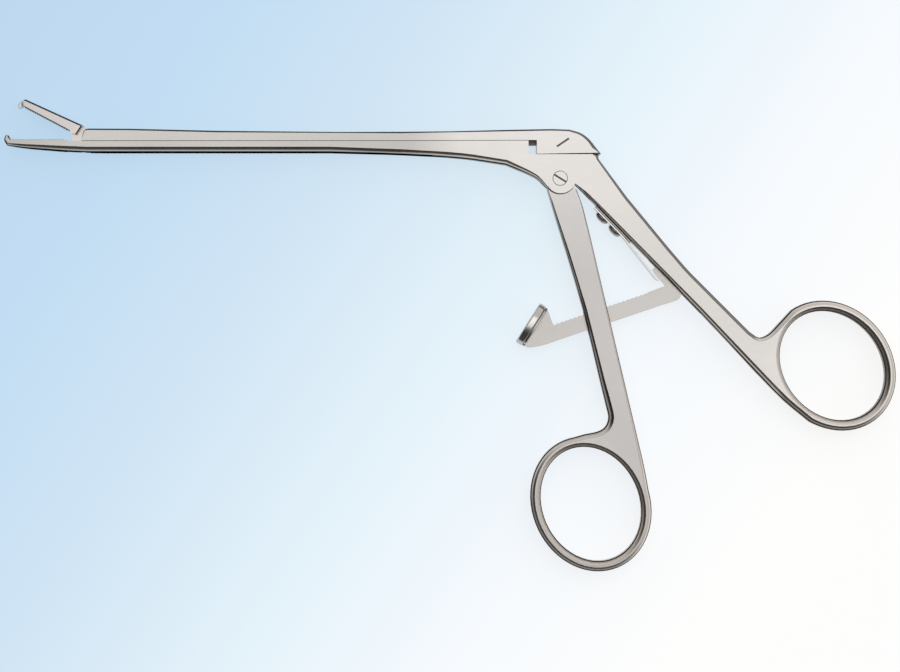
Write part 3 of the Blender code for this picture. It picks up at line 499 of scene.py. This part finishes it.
@dataclass(frozen=True)
class PlainFinish:
    """Polished or blackened steel with faint smears and fine scratches.

    Attributes:
        name: The material's name.
        slot: The record's slot that it stands for.
        colour: The reflected colour.
        roughness: The mean roughness.
        smear: How much the smears change the roughness.
        grain: How much the scratches do.
        light: How light the lightest smears are, next to the colour.
        dull: The same for the darkest.
        depth: How deep the scratches are, in metres.
    """

    name: str
    slot: Slot
    colour: Colour
    roughness: float
    smear: float = 0.1
    grain: float = 0.06
    light: float = 1.12
    dull: float = 0.86
    depth: float = 1.5e-6

    def make(self) -> bpy.types.Material:
        """Builds the material.

        Returns:
            The finished material.
        """
        material, tree = new_material(self.name)
        place = tree.node("ShaderNodeTexCoord", output="Object")
        smears = tree.noise(place, SMEARS)
        scratches = tree.noise(place, SCRATCHES)
        light = tuple(channel * self.light for channel in self.colour)
        dull = tuple(channel * self.dull for channel in self.colour)
        colour = tree.blend(smears, (*dull, 1.0), (*light, 1.0))
        rough = self.roughness + self.smear * (smears - 0.5) + self.grain * (scratches - 0.5)
        normal = tree.node(
            "ShaderNodeBump", {}, {"Strength": 1.0, "Distance": self.depth, "Height": scratches}
        )
        tree.end_in_metal({"Base Color": colour, "Roughness": rough, "Normal": normal})
        return material


@dataclass(frozen=True)
class Marks:
    """What the finish treats apart on a piece: the recesses and the faces with painted shade.

    Attributes:
        recess_below: Under which height over the middle plane a face is a recess with painted
            shade, in metres.
        painted_shading: Says how much painted shade a face gets, from nought to one, or -1 where
            even
        its steep part gets none and stays light; nought all over if it is left out.
    """

    recess_below: float = 0.0
    painted_shading: Callable[[bmesh.types.BMFace], float] | None = None


def bevel(
    mesh: bmesh.types.BMesh, edges: list[bmesh.types.BMEdge], width: float, segments: int
) -> None:
    """Bevels some edges of a mesh.

    Args:
        mesh: The mesh to work on.
        edges: Its edges to bevel.
        width: The bevel's width, in metres.
        segments: How many faces go across it.
    """
    bmesh.ops.bevel(
        mesh,
        geom=edges,
        offset=width,
        offset_type="OFFSET",
        segments=segments,
        profile=0.5,
        affect="EDGES",
        clamp_overlap=True,
        material=-1,
    )


@dataclass
class Smith:
    """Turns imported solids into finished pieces: whole faces, broken edges and smooth rims.

    Attributes:
        weld: How close corners are joined, in metres.
        flat_angle: Up to which angle faces count as one flat, in radians.
        edge_angle: From which angle an edge is broken, in radians.
        crease_angle: From which angle an edge stays sharp, in radians.
        flat_tilt: Up to which share of a right angle a tilted face counts as a flat.
        low_wall: Up to which height a wall counts as part of its rim, in metres.
        low_wall_tilt: As how steep such a wall counts at most, as a share of a right angle.
        wall_tilt: From which share of a right angle a face counts as a wall.
        steep_tilt: From which share of a right angle a rim's face counts as steep.
        level_normal: From which part of its normal along Z a face counts as level.
        border_angle: From which angle a flat's border with its rim stays sharp, in radians.
    """

    weld: float = 1.5e-6
    flat_angle: float = math.radians(0.5)
    edge_angle: float = math.radians(40.0)
    crease_angle: float = math.radians(34.0)
    flat_tilt: float = 0.11
    low_wall: float = 1.3 * MM
    low_wall_tilt: float = 0.93
    wall_tilt: float = 0.97
    steep_tilt: float = 0.5
    level_normal: float = 0.9985
    border_angle: float = math.radians(12.0)

    def copy_of(self, node: str) -> bmesh.types.BMesh:
        """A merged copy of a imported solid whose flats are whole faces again.

        Args:
            node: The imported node's name.

        Returns:
            The copy.
        """
        mesh = bmesh.new()
        mesh.from_mesh(bpy.data.objects[node].data)
        bmesh.ops.remove_doubles(mesh, verts=mesh.verts, dist=self.weld)
        bmesh.ops.dissolve_degenerate(mesh, dist=self.weld, edges=mesh.edges)
        bmesh.ops.dissolve_limit(
            mesh,
            angle_limit=self.flat_angle,
            use_dissolve_boundaries=False,
            verts=mesh.verts,
            edges=mesh.edges,
        )
        return mesh

    def break_edges(
        self,
        mesh: bmesh.types.BMesh,
        width: float,
        wanted: Callable[[bmesh.types.BMEdge], bool] | None = None,
    ) -> None:
        """Bevels the sharp edges of a mesh.

        Args:
            mesh: The mesh to work on.
            width: The bevel's width, in metres.
            wanted: Says which of the sharp edges to take; all if it is left out.
        """
        edges = [
            edge
            for edge in mesh.edges
            if edge.is_manifold
            and edge.calc_face_angle(0.0) > self.edge_angle
            and (wanted is None or wanted(edge))
        ]
        bevel(mesh, edges, width, segments=2)

    def mark(self, mesh: bmesh.types.BMesh, marks: Marks) -> None:
        """Writes how steep, how deep and how much painted shade each corner of each face has.

        Args:
            mesh: The mesh to mark.
            marks: What counts as a recess and which faces get painted shade.
        """
        mesh.normal_update()
        tilt, recess, burnish = (mesh.loops.layers.float.new(name) for name in MARK_LAYERS)
        slopes = {face: slope(face) for face in mesh.faces}
        for face in mesh.faces:
            heights = [corner.co.z for corner in face.verts]
            if max(heights) - min(heights) < self.low_wall:
                slopes[face] = min(slopes[face], self.low_wall_tilt)
        shades = {face: marks.painted_shading(face) if marks.painted_shading else 0.0 for face in mesh.faces}
        for face in mesh.faces:
            deep = abs(face.calc_center_median().z - PIVOT.z) < marks.recess_below
            for loop in face.loops:
                bent = [near for near in loop.vert.link_faces if self.is_rim(slopes[near])]
                if not self.is_rim(slopes[face]):
                    bent = [face]
                loop[tilt] = sum(slopes[near] for near in bent) / len(bent)
                loop[burnish] = sum(shades[near] for near in bent) / len(bent)
                loop[recess] = 1.0 if deep else 0.0
            # Steep rim faces take the darker copy of the material, as painted shade, unless they
            # stay light
            rim = self.is_rim(slopes[face]) and slopes[face] > self.steep_tilt
            face.material_index = 1 if rim and shades[face] >= 0.0 else 0

    def is_rim(self, share: float) -> bool:
        """Whether a tilt, as a share of a right angle, is a rim's: no flat's and no wall's."""
        return self.flat_tilt < share < self.wall_tilt

    def finish(
        self,
        name: str,
        mesh: bmesh.types.BMesh,
        materials: list[bpy.types.Material],
        slot: Slot,
        marks: Marks,
    ) -> bpy.types.Object:
        """Makes the object: smooth rims, sharp creases and its material.

        Args:
            name: The piece's name.
            mesh: Its mesh, used up here.
            materials: Its material, and the one of its steep parts if they have their own: a darker
                copy of it, as painted shade.
            slot: The record's slot that the finish belongs to; not used.
            marks: What counts as a recess and which faces get painted shade.

        Returns:
            The piece, at the origin.
        """
        self.mark(mesh, marks)
        for face in mesh.faces:
            face.smooth = True
            face.material_index = min(face.material_index, len(materials) - 1)
        for edge in mesh.edges:
            edge.smooth = not self.is_crease(edge)
        data = bpy.data.meshes.new(name)
        mesh.to_mesh(data)
        mesh.free()
        for material in materials:
            data.materials.append(material)
        piece = add_object(name, data)
        weighted = piece.modifiers.new("face_normals", "WEIGHTED_NORMAL")
        weighted.keep_sharp = True
        return piece

    def is_crease(self, edge: bmesh.types.BMEdge) -> bool:
        """Whether an edge stays sharp: a steep one, or a flat's border with its rim.

        Args:
            edge: The edge to judge.

        Returns:
            True where the shading breaks.
        """
        angle = edge.calc_face_angle(0.0)
        if angle > self.crease_angle:
            return True
        level = [abs(face.normal.z) > self.level_normal for face in edge.link_faces]
        return angle > self.border_angle and any(level) and not all(level)


@dataclass
class Dresser:
    """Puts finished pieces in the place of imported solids.

    Attributes:
        smith: What shapes the pieces.
        count: How many pieces are done.
    """

    smith: Smith = field(default_factory=Smith)
    count: int = 0

    def dress(
        self,
        node: str,
        body: Body,
        finish: BrushedFinish | PlainFinish,
        edge_width: float,
        wanted: Callable[[bmesh.types.BMEdge], bool] | None = None,
        marks: Marks = Marks(),
        reshape: Callable[[bmesh.types.BMesh], None] | None = None,
    ) -> bpy.types.Object:
        """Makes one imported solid's finished piece.

        Args:
            node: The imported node's name.
            body: The body that it moves with.
            finish: Its finish.
            edge_width: How far its sharp edges are broken, in metres.
            wanted: Says which sharp edges to break; all if it is left out.
            marks: What the finish treats apart on the piece.
            reshape: A change of its own that the piece gets first.

        Returns:
            The finished piece.
        """
        mesh = self.smith.copy_of(node)
        if reshape is not None:
            reshape(mesh)
        if edge_width > 0.0:
            self.smith.break_edges(mesh, edge_width, wanted)
        materials = [finish.make()]
        # Satin pieces get a darker copy of their material for the steep parts of the rims, as
        # painted shade
        if isinstance(finish, BrushedFinish):
            rims = replace(finish, name=f"{finish.name}_rims", grazing_tone=finish.rim_shade_grazing_tone)
            materials.append(rims.make())
        piece = self.smith.finish(f"{node}_finished", mesh, materials, finish.slot, marks)
        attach(piece, body.value)
        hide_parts(node)
        self.count += 1
        LOG.info("%s: %d faces, on %s", piece.name, len(piece.data.polygons), body.value)
        return piece


def side_view(place: Vector) -> Place:
    """A place in millimetres from the handle's pivot, in the side view."""
    return ((place.x - PIVOT.x) / MM, (place.y - PIVOT.y) / MM)


def middle(edge: bmesh.types.BMEdge) -> Place:
    """An edge's middle in millimetres from the handle's pivot, in the side view."""
    return side_view((edge.verts[0].co + edge.verts[1].co) / 2)


def distance(place: Place, centre: Place) -> float:
    """How far a place in the side view lies from another, in millimetres."""
    return math.hypot(place[0] - centre[0], place[1] - centre[1])


def is_bent(face: bmesh.types.BMFace) -> bool:
    """Whether a face bends off the flats."""
    return abs(face.normal.z) < BENT_NORMAL


def slope(face: bmesh.types.BMFace) -> float:
    """How far a face tilts out of the side view's plane, as a share of a right angle."""
    return math.acos(min(abs(face.normal.z), 1.0)) / (math.pi / 2)


def rise(value: float, start: float, gain: float) -> float:
    """Nought up to a start, then growing by a gain until it is one."""
    return min(max((value - start) * gain, 0.0), 1.0)


@dataclass(frozen=True)
class Zone:
    """A rectangle in the side view, in millimetres, open where no limit is given.

    Attributes:
        left: Its lowest X.
        right: Its highest X.
        low: Its lowest Y.
        high: Its highest Y.
    """

    left: float = -math.inf
    right: float = math.inf
    low: float = -math.inf
    high: float = math.inf

    def holds(self, place: Place) -> bool:
        """Whether a place lies in it."""
        return self.left < place[0] < self.right and self.low < place[1] < self.high


LOWER_TEETH = Zone(-131.6, -118.6, low=9.0)
LOWER_HOOK = Zone(right=-131.0, low=8.0)
NOSE_SEAM = Zone(-114.8, -96.0, 7.0, 10.6)
REAR_SHANK = Zone(left=7.4)
SLIDE_NOSE = Zone(right=-112.5, high=11.5)
SLIDE_BLOCK = Zone(left=0.0)
SLIDE_SEAM = Zone(right=-95.0)
FRONT_SHANK = Zone(high=-4.6)
# From the jaw's pivot, with the jaws closed
JAW_TEETH = Zone(-17.0, -4.4)
JAW_BACK = Zone(left=-17.6, low=3.0)
JAW_HEEL = Zone(-2.95, -2.1, low=1.6)
HEEL_EDGE = Zone(-2.75, -2.2)


def ring_shade(face: bmesh.types.BMFace, centre: Place) -> float:
    """How dark a finger ring's steep parts are, which face the lower left.

    Args:
        face: The face to judge.
        centre: The ring's middle in the side view.

    Returns:
        The share, from nought to one.
    """
    place = side_view(face.calc_center_median())
    level = math.hypot(face.normal.x, face.normal.y)
    if level < SLIGHT_LEAN or distance(place, centre) > RING_REACH:
        return 0.0
    away = (RING_SIDE[0] * face.normal.x + RING_SIDE[1] * face.normal.y) / level
    turned = rise(away, *RING_TURN_RISE)
    return RING_SHADE * turned * rise(slope(face), *RING_SLOPE_RISE)


@dataclass
class FrameGroup:
    """The fixed frame with what is screwed and pinned to it.

    Attributes:
        edge: How far the frame's sharp edges are broken, in metres.
        screw_edge: The same for the screws.
        strip_edge: The same for the spring and its strip.
        seam_shade: How dark the edge under the slide's nose is.
        shank_shade: How dark the rear handle's upper edge is.
    """

    edge: float = 0.12 * MM
    screw_edge: float = 0.09 * MM
    strip_edge: float = 0.05 * MM
    seam_shade: float = 0.95
    shank_shade: float = 0.72

    def build(self, dresser: Dresser) -> None:
        """Dresses the frame's pieces.

        Args:
            dresser: What makes the finished pieces.
        """
        # The frame's flats towards the jaws get painted shade
        satin = BrushedFinish("frame_satin_steel", Slot.SATIN, shaft_shade_tone=0.76)
        marks = Marks(SLOT_LEVEL, self.burnish)
        dresser.dress("fixed_frame", Body.FRAME, satin, self.edge, self.is_plain_edge, marks)
        screw = BrushedFinish("pivot_screw_satin_steel", Slot.SATIN, lines_at=-32.0)
        # The screw slot's floor gets the painted recess shade
        marks = Marks(SCREW_LEVEL)
        dresser.dress("handle_pivot_screw", Body.FRAME, screw, self.screw_edge, marks=marks)
        for node in ("jaw_pivot_pin", "ratchet_pin"):
            pin = BrushedFinish(f"{node}_satin_steel", Slot.SATIN)
            dresser.dress(node, Body.FRAME, pin, 0.0)
        leaf = PlainFinish("spring_polished_steel", Slot.POLISHED, (0.6, 0.58, 0.56), 0.24)
        dresser.dress("ratchet_spring", Body.FRAME, leaf, self.strip_edge)
        # Painted shadow: the backing strip's steel is made darker than the spring's
        strip = PlainFinish("strip_steel_painted_shadow", Slot.POLISHED, (0.3, 0.29, 0.28), 0.24)
        dresser.dress("spring_backing_strip", Body.FRAME, strip, self.strip_edge)
        black = PlainFinish("spring_screw_black_steel", Slot.DARK, (0.34, 0.325, 0.32), 0.2)
        for node in ("spring_screw_upper", "spring_screw_lower"):
            dresser.dress(node, Body.FRAME, black, self.screw_edge)

    @staticmethod
    def is_plain_edge(edge: bmesh.types.BMEdge) -> bool:
        """Whether one of the frame's edges lies clear of the lower jaw's teeth and the hub."""
        place = middle(edge)
        off_hub = not HUB_RIM_START < distance(place, HUB) < HUB_REACH
        return off_hub and not LOWER_TEETH.holds(place)

    def burnish(self, face: bmesh.types.BMFace) -> float:
        """How much painted shade the hook's back, the nose's seam, the rear handle and the ring
        get.

        Args:
            face: The face to judge.

        Returns:
            The share, or -1 at the hook's inner side, which stays light.
        """
        place = side_view(face.calc_center_median())
        bent = is_bent(face)
        if bent and LOWER_HOOK.holds(place):
            return 1.0 if face.normal.x < -CLEAR_LEAN else STAYS_LIGHT
        if bent and NOSE_SEAM.holds(place) and face.normal.y > STRONG_LEAN:
            return self.seam_shade
        clear = distance(place, REAR_RING) > RING_REACH
        upper = face.normal.x + face.normal.y > STRONG_LEAN
        if bent and clear and upper and REAR_SHANK.holds(place):
            return self.shank_shade
        return ring_shade(face, REAR_RING)


@dataclass
class SlideGroup:
    """The sliding shaft with its drive screw and link pin.

    Attributes:
        edge: How far the slide's sharp edges are broken, in metres.
        back_shade: How dark its rounded upper edge is.
        block_shade: The same over the rear block.
        seam_shade: How dark the seam behind the nose is.
    """

    edge: float = 0.16 * MM
    back_shade: float = 0.95
    block_shade: float = 0.8
    seam_shade: float = 0.9

    def build(self, dresser: Dresser) -> None:
        """Dresses the slide's pieces.

        Args:
            dresser: What makes the finished pieces.
        """
        # The slide's flats towards the jaws get painted shade
        satin = BrushedFinish("slide_satin_steel", Slot.SATIN, shaft_shade_tone=0.8)
        marks = Marks(SLOT_LEVEL, self.burnish)
        dresser.dress("sliding_shaft", Body.SLIDE, satin, self.edge, self.is_plain_edge, marks)
        screw = BrushedFinish("drive_screw_satin_steel", Slot.SATIN, lines_at=34.0)
        # The screw slot's floor gets the painted recess shade
        marks = Marks(SCREW_LEVEL)
        dresser.dress("drive_screw", Body.SLIDE, screw, 0.0, marks=marks, reshape=self.close_rim)
        pin = BrushedFinish("link_pin_satin_steel", Slot.SATIN)
        dresser.dress("jaw_link_pin", Body.SLIDE, pin, 0.0)

    @staticmethod
    def is_plain_edge(edge: bmesh.types.BMEdge) -> bool:
        """Whether one of the slide's edges lies clear of the drive screw's bore."""
        return distance(middle(edge), DRIVE_SCREW) > DRIVE_BORE_REACH

    def burnish(self, face: bmesh.types.BMFace) -> float:
        """How much painted shade the slide's rounded upper edge and the seam behind its nose get.

        Args:
            face: The face to judge.

        Returns:
            The share, or -1 at the nose's front, which stays light.
        """
        place = side_view(face.calc_center_median())
        if not is_bent(face):
            return 0.0
        if SLIDE_NOSE.holds(place) and face.normal.x < -SLIGHT_LEAN:
            return STAYS_LIGHT
        if face.normal.y > SLIGHT_LEAN:
            return self.block_shade if SLIDE_BLOCK.holds(place) else self.back_shade
        seam = SLIDE_SEAM.holds(place) and face.normal.y < -SLIGHT_LEAN
        return self.seam_shade if seam else 0.0

    @staticmethod
    def close_rim(mesh: bmesh.types.BMesh) -> None:
        """Widens the drive screw's head to its bore, where it is ground over.

        Args:
            mesh: The screw's mesh.
        """
        for vertex in mesh.verts:
            x, y = side_view(vertex.co)
            across = Vector((x - DRIVE_SCREW[0], y - DRIVE_SCREW[1], 0.0))
            if across.length > HEAD_RIM and vertex.co.z - PIVOT.z > SCREW_LEVEL:
                vertex.co += across.normalized() * (BORE_RADIUS - across.length) * MM
                vertex.co.z = PIVOT.z + HEAD_TOP
        bmesh.ops.remove_doubles(mesh, verts=mesh.verts, dist=HEAD_WELD)


@dataclass
class JawGroup:
    """The upper jaw.

    Attributes:
        edge: How far its sharp edges are broken, in metres.
        heel_edge: The same at the heel, where the jaw ends above its tang.
        turn: How far the jaw stands open, in radians.
        root: How high its tooth roots lie over the pivot with the jaws closed, in millimetres.
        heel_angle: From which angle the heel's edges are chamfered, in radians.
        heel_height: How far off the middle plane they lie at least, in metres.
    """

    edge: float = 0.07 * MM
    heel_edge: float = 0.28 * MM
    turn: float = math.radians(27.8)
    root: float = 2.08
    heel_angle: float = 1.2
    heel_height: float = 1.5 * MM

    def build(self, dresser: Dresser) -> None:
        """Dresses the jaw.

        Args:
            dresser: What makes the finished piece.
        """
        satin = BrushedFinish(
            "jaw_satin_steel", Slot.SATIN, colour=(0.56, 0.527, 0.515), lines_at=-27.8
        )
        marks = Marks(painted_shading=self.burnish)
        dresser.dress("upper_jaw", Body.JAW, satin, self.edge, marks=marks, reshape=self.reshape)

    def closed(self, place: Vector) -> Place:
        """Where a place of the open jaw lies from its pivot with the jaws closed.

        Args:
            place: The place in the world.

        Returns:
            The distances along and above the pivot, in millimetres.
        """
        x, y = side_view(place)
        x, y = x - JAW_PIVOT[0], y - JAW_PIVOT[1]
        cosine, sine = math.cos(self.turn), math.sin(self.turn)
        return (x * cosine - y * sine, x * sine + y * cosine)

    def reshape(self, mesh: bmesh.types.BMesh) -> None:
        """Parts the teeth from the flats and chamfers the heel.

        Args:
            mesh: The jaw's mesh.
        """
        heel = [edge for edge in mesh.edges if edge.is_manifold and self.is_heel(edge)]
        bevel(mesh, heel, self.heel_edge, segments=1)
        across = Vector((math.sin(self.turn), math.cos(self.turn), 0.0))
        start = PIVOT + Vector((*JAW_PIVOT, 0.0)) * MM + across * self.root * MM
        geometry = [*mesh.verts, *mesh.edges, *mesh.faces]
        bmesh.ops.bisect_plane(mesh, geom=geometry, dist=1e-7, plane_co=start, plane_no=across)

    def is_heel(self, edge: bmesh.types.BMEdge) -> bool:
        """Whether an edge is one of the heel's, which get a chamfer."""
        centre = (edge.verts[0].co + edge.verts[1].co) / 2
        outer = abs((edge.verts[0].co.z + edge.verts[1].co.z) / 2 - PIVOT.z) > self.heel_height
        sharp = edge.calc_face_angle(0.0) > self.heel_angle
        return sharp and outer and HEEL_EDGE.holds(self.closed(centre))

    def burnish(self, face: bmesh.types.BMFace) -> float:
        """How much painted shade the teeth, the heel's chamfer and the back's rounding get.

        Args:
            face: The face to judge.

        Returns:
            The share, or -1 at the hook and under the heel, which stay light.
        """
        place = self.closed(face.calc_center_median())
        bent = is_bent(face)
        upper = Vector((math.sin(self.turn), math.cos(self.turn), 0.0))
        tooth = JAW_TEETH.holds(place) and place[1] < self.root
        back = bent and JAW_BACK.holds(place) and face.normal.dot(upper) > BACK_LEAN
        heel = bent and JAW_HEEL.holds(place) and abs(face.normal.z) > SLIGHT_LEAN
        if tooth or back or heel:
            return 1.0
        return STAYS_LIGHT if bent and not JAW_TEETH.holds(place) else 0.0


@dataclass
class HandleGroup:
    """The front handle.

    Attributes:
        edge: How far its sharp edges are broken, in metres.
        rim_shade: How dark its left rim is.
    """

    edge: float = 0.1 * MM
    rim_shade: float = 0.7

    def build(self, dresser: Dresser) -> None:
        """Dresses the handle.

        Args:
            dresser: What makes the finished piece.
        """
        satin = BrushedFinish(
            "handle_satin_steel", Slot.SATIN, colour=(0.52, 0.5, 0.486), lines_at=-75.0
        )
        marks = Marks(painted_shading=self.burnish)
        dresser.dress("front_handle", Body.HANDLE, satin, self.edge, self.is_plain_edge, marks)

    @staticmethod
    def is_plain_edge(edge: bmesh.types.BMEdge) -> bool:
        """Whether one of the handle's edges lies clear of its shoulder round the hub."""
        return distance(middle(edge), HUB) > HUB_REACH

    def burnish(self, face: bmesh.types.BMFace) -> float:
        """How much painted shade the handle's left rim and its ring's steep parts get.

        Args:
            face: The face to judge.

        Returns:
            The share, from nought to one.
        """
        place = side_view(face.calc_center_median())
        shank = distance(place, FRONT_RING) > RING_REACH and FRONT_SHANK.holds(place)
        if shank and is_bent(face) and face.normal.x < -CLEAR_LEAN:
            return self.rim_shade
        return ring_shade(face, FRONT_RING)


@dataclass
class RatchetGroup:
    """The ratchet bar with its finger pad.

    Attributes:
        bar_edge: How far the bar's sharp edges are broken, in metres.
        pad_edge: The same for the pad.
    """

    bar_edge: float = 0.04 * MM
    pad_edge: float = 0.1 * MM

    def build(self, dresser: Dresser) -> None:
        """Dresses the ratchet's pieces.

        Args:
            dresser: What makes the finished pieces.
        """
        satin = BrushedFinish(
            "ratchet_satin_steel", Slot.SATIN, colour=(0.52, 0.498, 0.478), lines_at=18.7
        )
        dresser.dress("ratchet_bar", Body.RATCHET, satin, self.bar_edge)
        bright = PlainFinish("pad_polished_steel", Slot.POLISHED, (0.58, 0.56, 0.54), 0.2)
        dresser.dress("finger_pad", Body.RATCHET, bright, self.pad_edge)


@dataclass
class Studio:
    """The floor, the lamps, the world and the camera.

    Attributes:
        floor_size: The floor's side, in metres.
        pixel: How much of the object one pixel of the picture shows, in metres.
        width: The picture's width, in pixels.
        height: The picture's height, in pixels.
        focal: The lens's focal length, in millimetres.
        sensor: The sensor's width, in millimetres.
        box_size: The soft lamp's sides along X and Y, in metres.
        box_place: Where it hangs, in metres.
        box_light: Its brightness as seen, where 1 is white.
        floor_glow: The share of the floor's colour that doesn't come from the lamps.
        floor_diffuse: How much of the lamps' light the floor gives back.
        floor_roughness: The floor's roughness.
        drop: How much the floor's colour changes down the picture, next to across it.
        bright_side: Where the room is light, as a direction.
        horizon_top: Up to which height the room is light all round, where 1 is overhead.
        horizon_gain: How fast that light fades above.
        horizon_colour: Its colour.
        far_levels: The screen colour that the camera sees beyond the floor.
        camera_y: The camera's place along Y, in metres.
    """

    floor_size: float = 6.0
    pixel: float = 0.24 * MM
    width: int = 900
    height: int = 672
    focal: float = 100.0
    sensor: float = 36.0
    box_size: tuple[float, float] = (1.05, 0.56)
    box_place: tuple[float, float, float] = (-0.1, 0.13, 1.0)
    box_light: float = 1.0
    floor_glow: float = 0.84
    floor_diffuse: float = 0.3
    floor_roughness: float = 0.9
    drop: float = 0.5
    bright_side: tuple[float, float, float] = (0.64, 0.77, 0.0)
    horizon_top: float = 0.22
    horizon_gain: float = 8.0
    horizon_colour: Colour = (0.62, 0.61, 0.6)
    far_levels: tuple[int, int, int] = (236, 244, 250)
    camera_y: float = -0.13 * MM

    def build(self) -> None:
        """Builds the studio round the object."""
        self._floor()
        self._lamps()
        self._world()
        self._camera()
        LOG.info("studio: floor, lamps, world and camera")

    def _background(self, tree: ShaderTree, place: Wire) -> Wire:
        """The photograph's soft change from light blue at the upper left to white.

        Args:
            tree: The floor's shader tree.
            place: The place on the floor.

        Returns:
            The colour there.
        """
        across = tree.node("ShaderNodeSeparateXYZ", {}, {"Vector": place})
        full = self.width * self.pixel
        tall = self.height * self.pixel
        right = across * (1.0 / full) + 0.5
        # Nought in the picture's upper left corner and one in its lower right one
        share = right - across.sibling("Y") * (self.drop / tall) + self.drop / 2
        share = share * (1.0 / (1.0 + self.drop))
        stops = [
            (0.0, to_linear(189, 216, 238)),
            (0.167, to_linear(193, 220, 242)),
            (0.333, to_linear(208, 228, 244)),
            (0.5, to_linear(227, 241, 249)),
            (0.667, to_linear(245, 249, 253)),
            (0.833, to_linear(253, 253, 252)),
            (1.0, to_linear(252, 253, 252)),
        ]
        return tree.node("ShaderNodeValToRGB", {"stops": stops}, {"Fac": share})

    def _floor(self) -> None:
        """The plain pale floor that the instrument lies on."""
        mesh = bmesh.new()
        bmesh.ops.create_grid(mesh, x_segments=1, y_segments=1, size=self.floor_size / 2)
        data = bpy.data.meshes.new("floor")
        mesh.to_mesh(data)
        mesh.free()
        floor = add_object("floor", data)
        material, tree = new_material("floor_paper")
        place = tree.node("ShaderNodeTexCoord", output="Object")
        colour = self._background(tree, place)
        dimmed = tree.node(
            "ShaderNodeVectorMath", {"operation": "SCALE"}, {0: colour, "Scale": self.floor_diffuse}
        )
        matt = {"Base Color": dimmed, "Roughness": self.floor_roughness, "Specular IOR Level": 0.0}
        paper = tree.node("ShaderNodeBsdfPrincipled", {}, matt)
        glow = tree.node("ShaderNodeEmission", {}, {"Color": colour, "Strength": self.floor_glow})
        lit = tree.node("ShaderNodeAddShader", {}, {0: paper, 1: glow})
        seen = self._seen_rays(tree)
        shown = tree.node("ShaderNodeMixShader", {}, {0: seen, 1: paper, 2: lit})
        tree.node("ShaderNodeOutputMaterial", {}, {"Surface": shown})
        data.materials.append(material)

    @staticmethod
    def _seen_rays(tree: ShaderTree) -> Wire:
        """One for the rays that see the background: from the camera, gloss and glass.

        Args:
            tree: The tree that asks.

        Returns:
            The share, nought or one.
        """
        camera = tree.node("ShaderNodeLightPath", output="Is Camera Ray")
        glossy = camera.sibling("Is Glossy Ray")
        through = camera.sibling("Is Transmission Ray")
        return (camera + glossy + through).at_most(1.0)

    def _lamps(self) -> None:
        """The large soft lamp overhead."""
        light = bpy.data.lights.new("soft_box", "AREA")
        light.shape = "RECTANGLE"
        light.size, light.size_y = self.box_size
        light.energy = self.box_light * math.pi * light.size * light.size_y
        add_object("soft_box", light).location = self.box_place

    def _world(self) -> None:
        """The room: dark at the lower left, light at the upper right and at the horizon."""
        world = bpy.data.worlds.new("studio_world")
        bpy.context.scene.world = world
        world.use_nodes = True
        tree = ShaderTree(world.node_tree)
        way = tree.node("ShaderNodeTexCoord", output="Generated")
        facing = tree.node(
            "ShaderNodeVectorMath",
            {"operation": "DOT_PRODUCT"},
            {0: way, 1: self.bright_side},
            "Value",
        )
        stops = [
            (0.0, (0.08, 0.08, 0.08)),
            (0.27, (0.05, 0.05, 0.05)),
            (0.42, (0.26, 0.255, 0.25)),
            (0.62, (0.7, 0.69, 0.68)),
            (1.0, (0.85, 0.84, 0.83)),
        ]
        room = tree.node("ShaderNodeValToRGB", {"stops": stops}, {"Fac": facing * 0.5 + 0.5})
        rising = tree.node("ShaderNodeSeparateXYZ", {}, {"Vector": way}, "Z")
        low = ((self.horizon_top - rising) * self.horizon_gain).clamped()
        room = tree.blend(low, room, (*self.horizon_colour, 1.0))
        camera = tree.node("ShaderNodeLightPath", output="Is Camera Ray")
        pale = (*to_linear(*self.far_levels), 1.0)
        seen = tree.blend(camera, room, pale)
        back = tree.node("ShaderNodeBackground", {}, {"Color": seen, "Strength": 1.0})
        tree.node("ShaderNodeOutputWorld", {}, {"Surface": back})

    def _camera(self) -> None:
        """The camera, straight above the instrument's side."""
        lens = bpy.data.cameras.new("camera")
        lens.sensor_width = self.sensor
        lens.lens = self.focal
        camera = add_object("camera", lens)
        up = self.width * self.pixel * self.focal / self.sensor
        camera.location = (0.0, self.camera_y, PIVOT.z + up)
        bpy.context.scene.camera = camera


def main() -> None:
    """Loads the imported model, dresses it and sets up the studio."""
    logging.basicConfig(level=logging.INFO, format="%(name)s: %(message)s")
    for old in list(bpy.data.objects):
        bpy.data.objects.remove(old)
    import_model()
    bpy.context.scene.view_settings.view_transform = "Standard"
    dresser = Dresser()
    for group in (FrameGroup(), SlideGroup(), JawGroup(), HandleGroup(), RatchetGroup()):
        group.build(dresser)
    Studio().build()
    LOG.info("%d pieces", dresser.count)


if __name__ == "__main__":
    main()
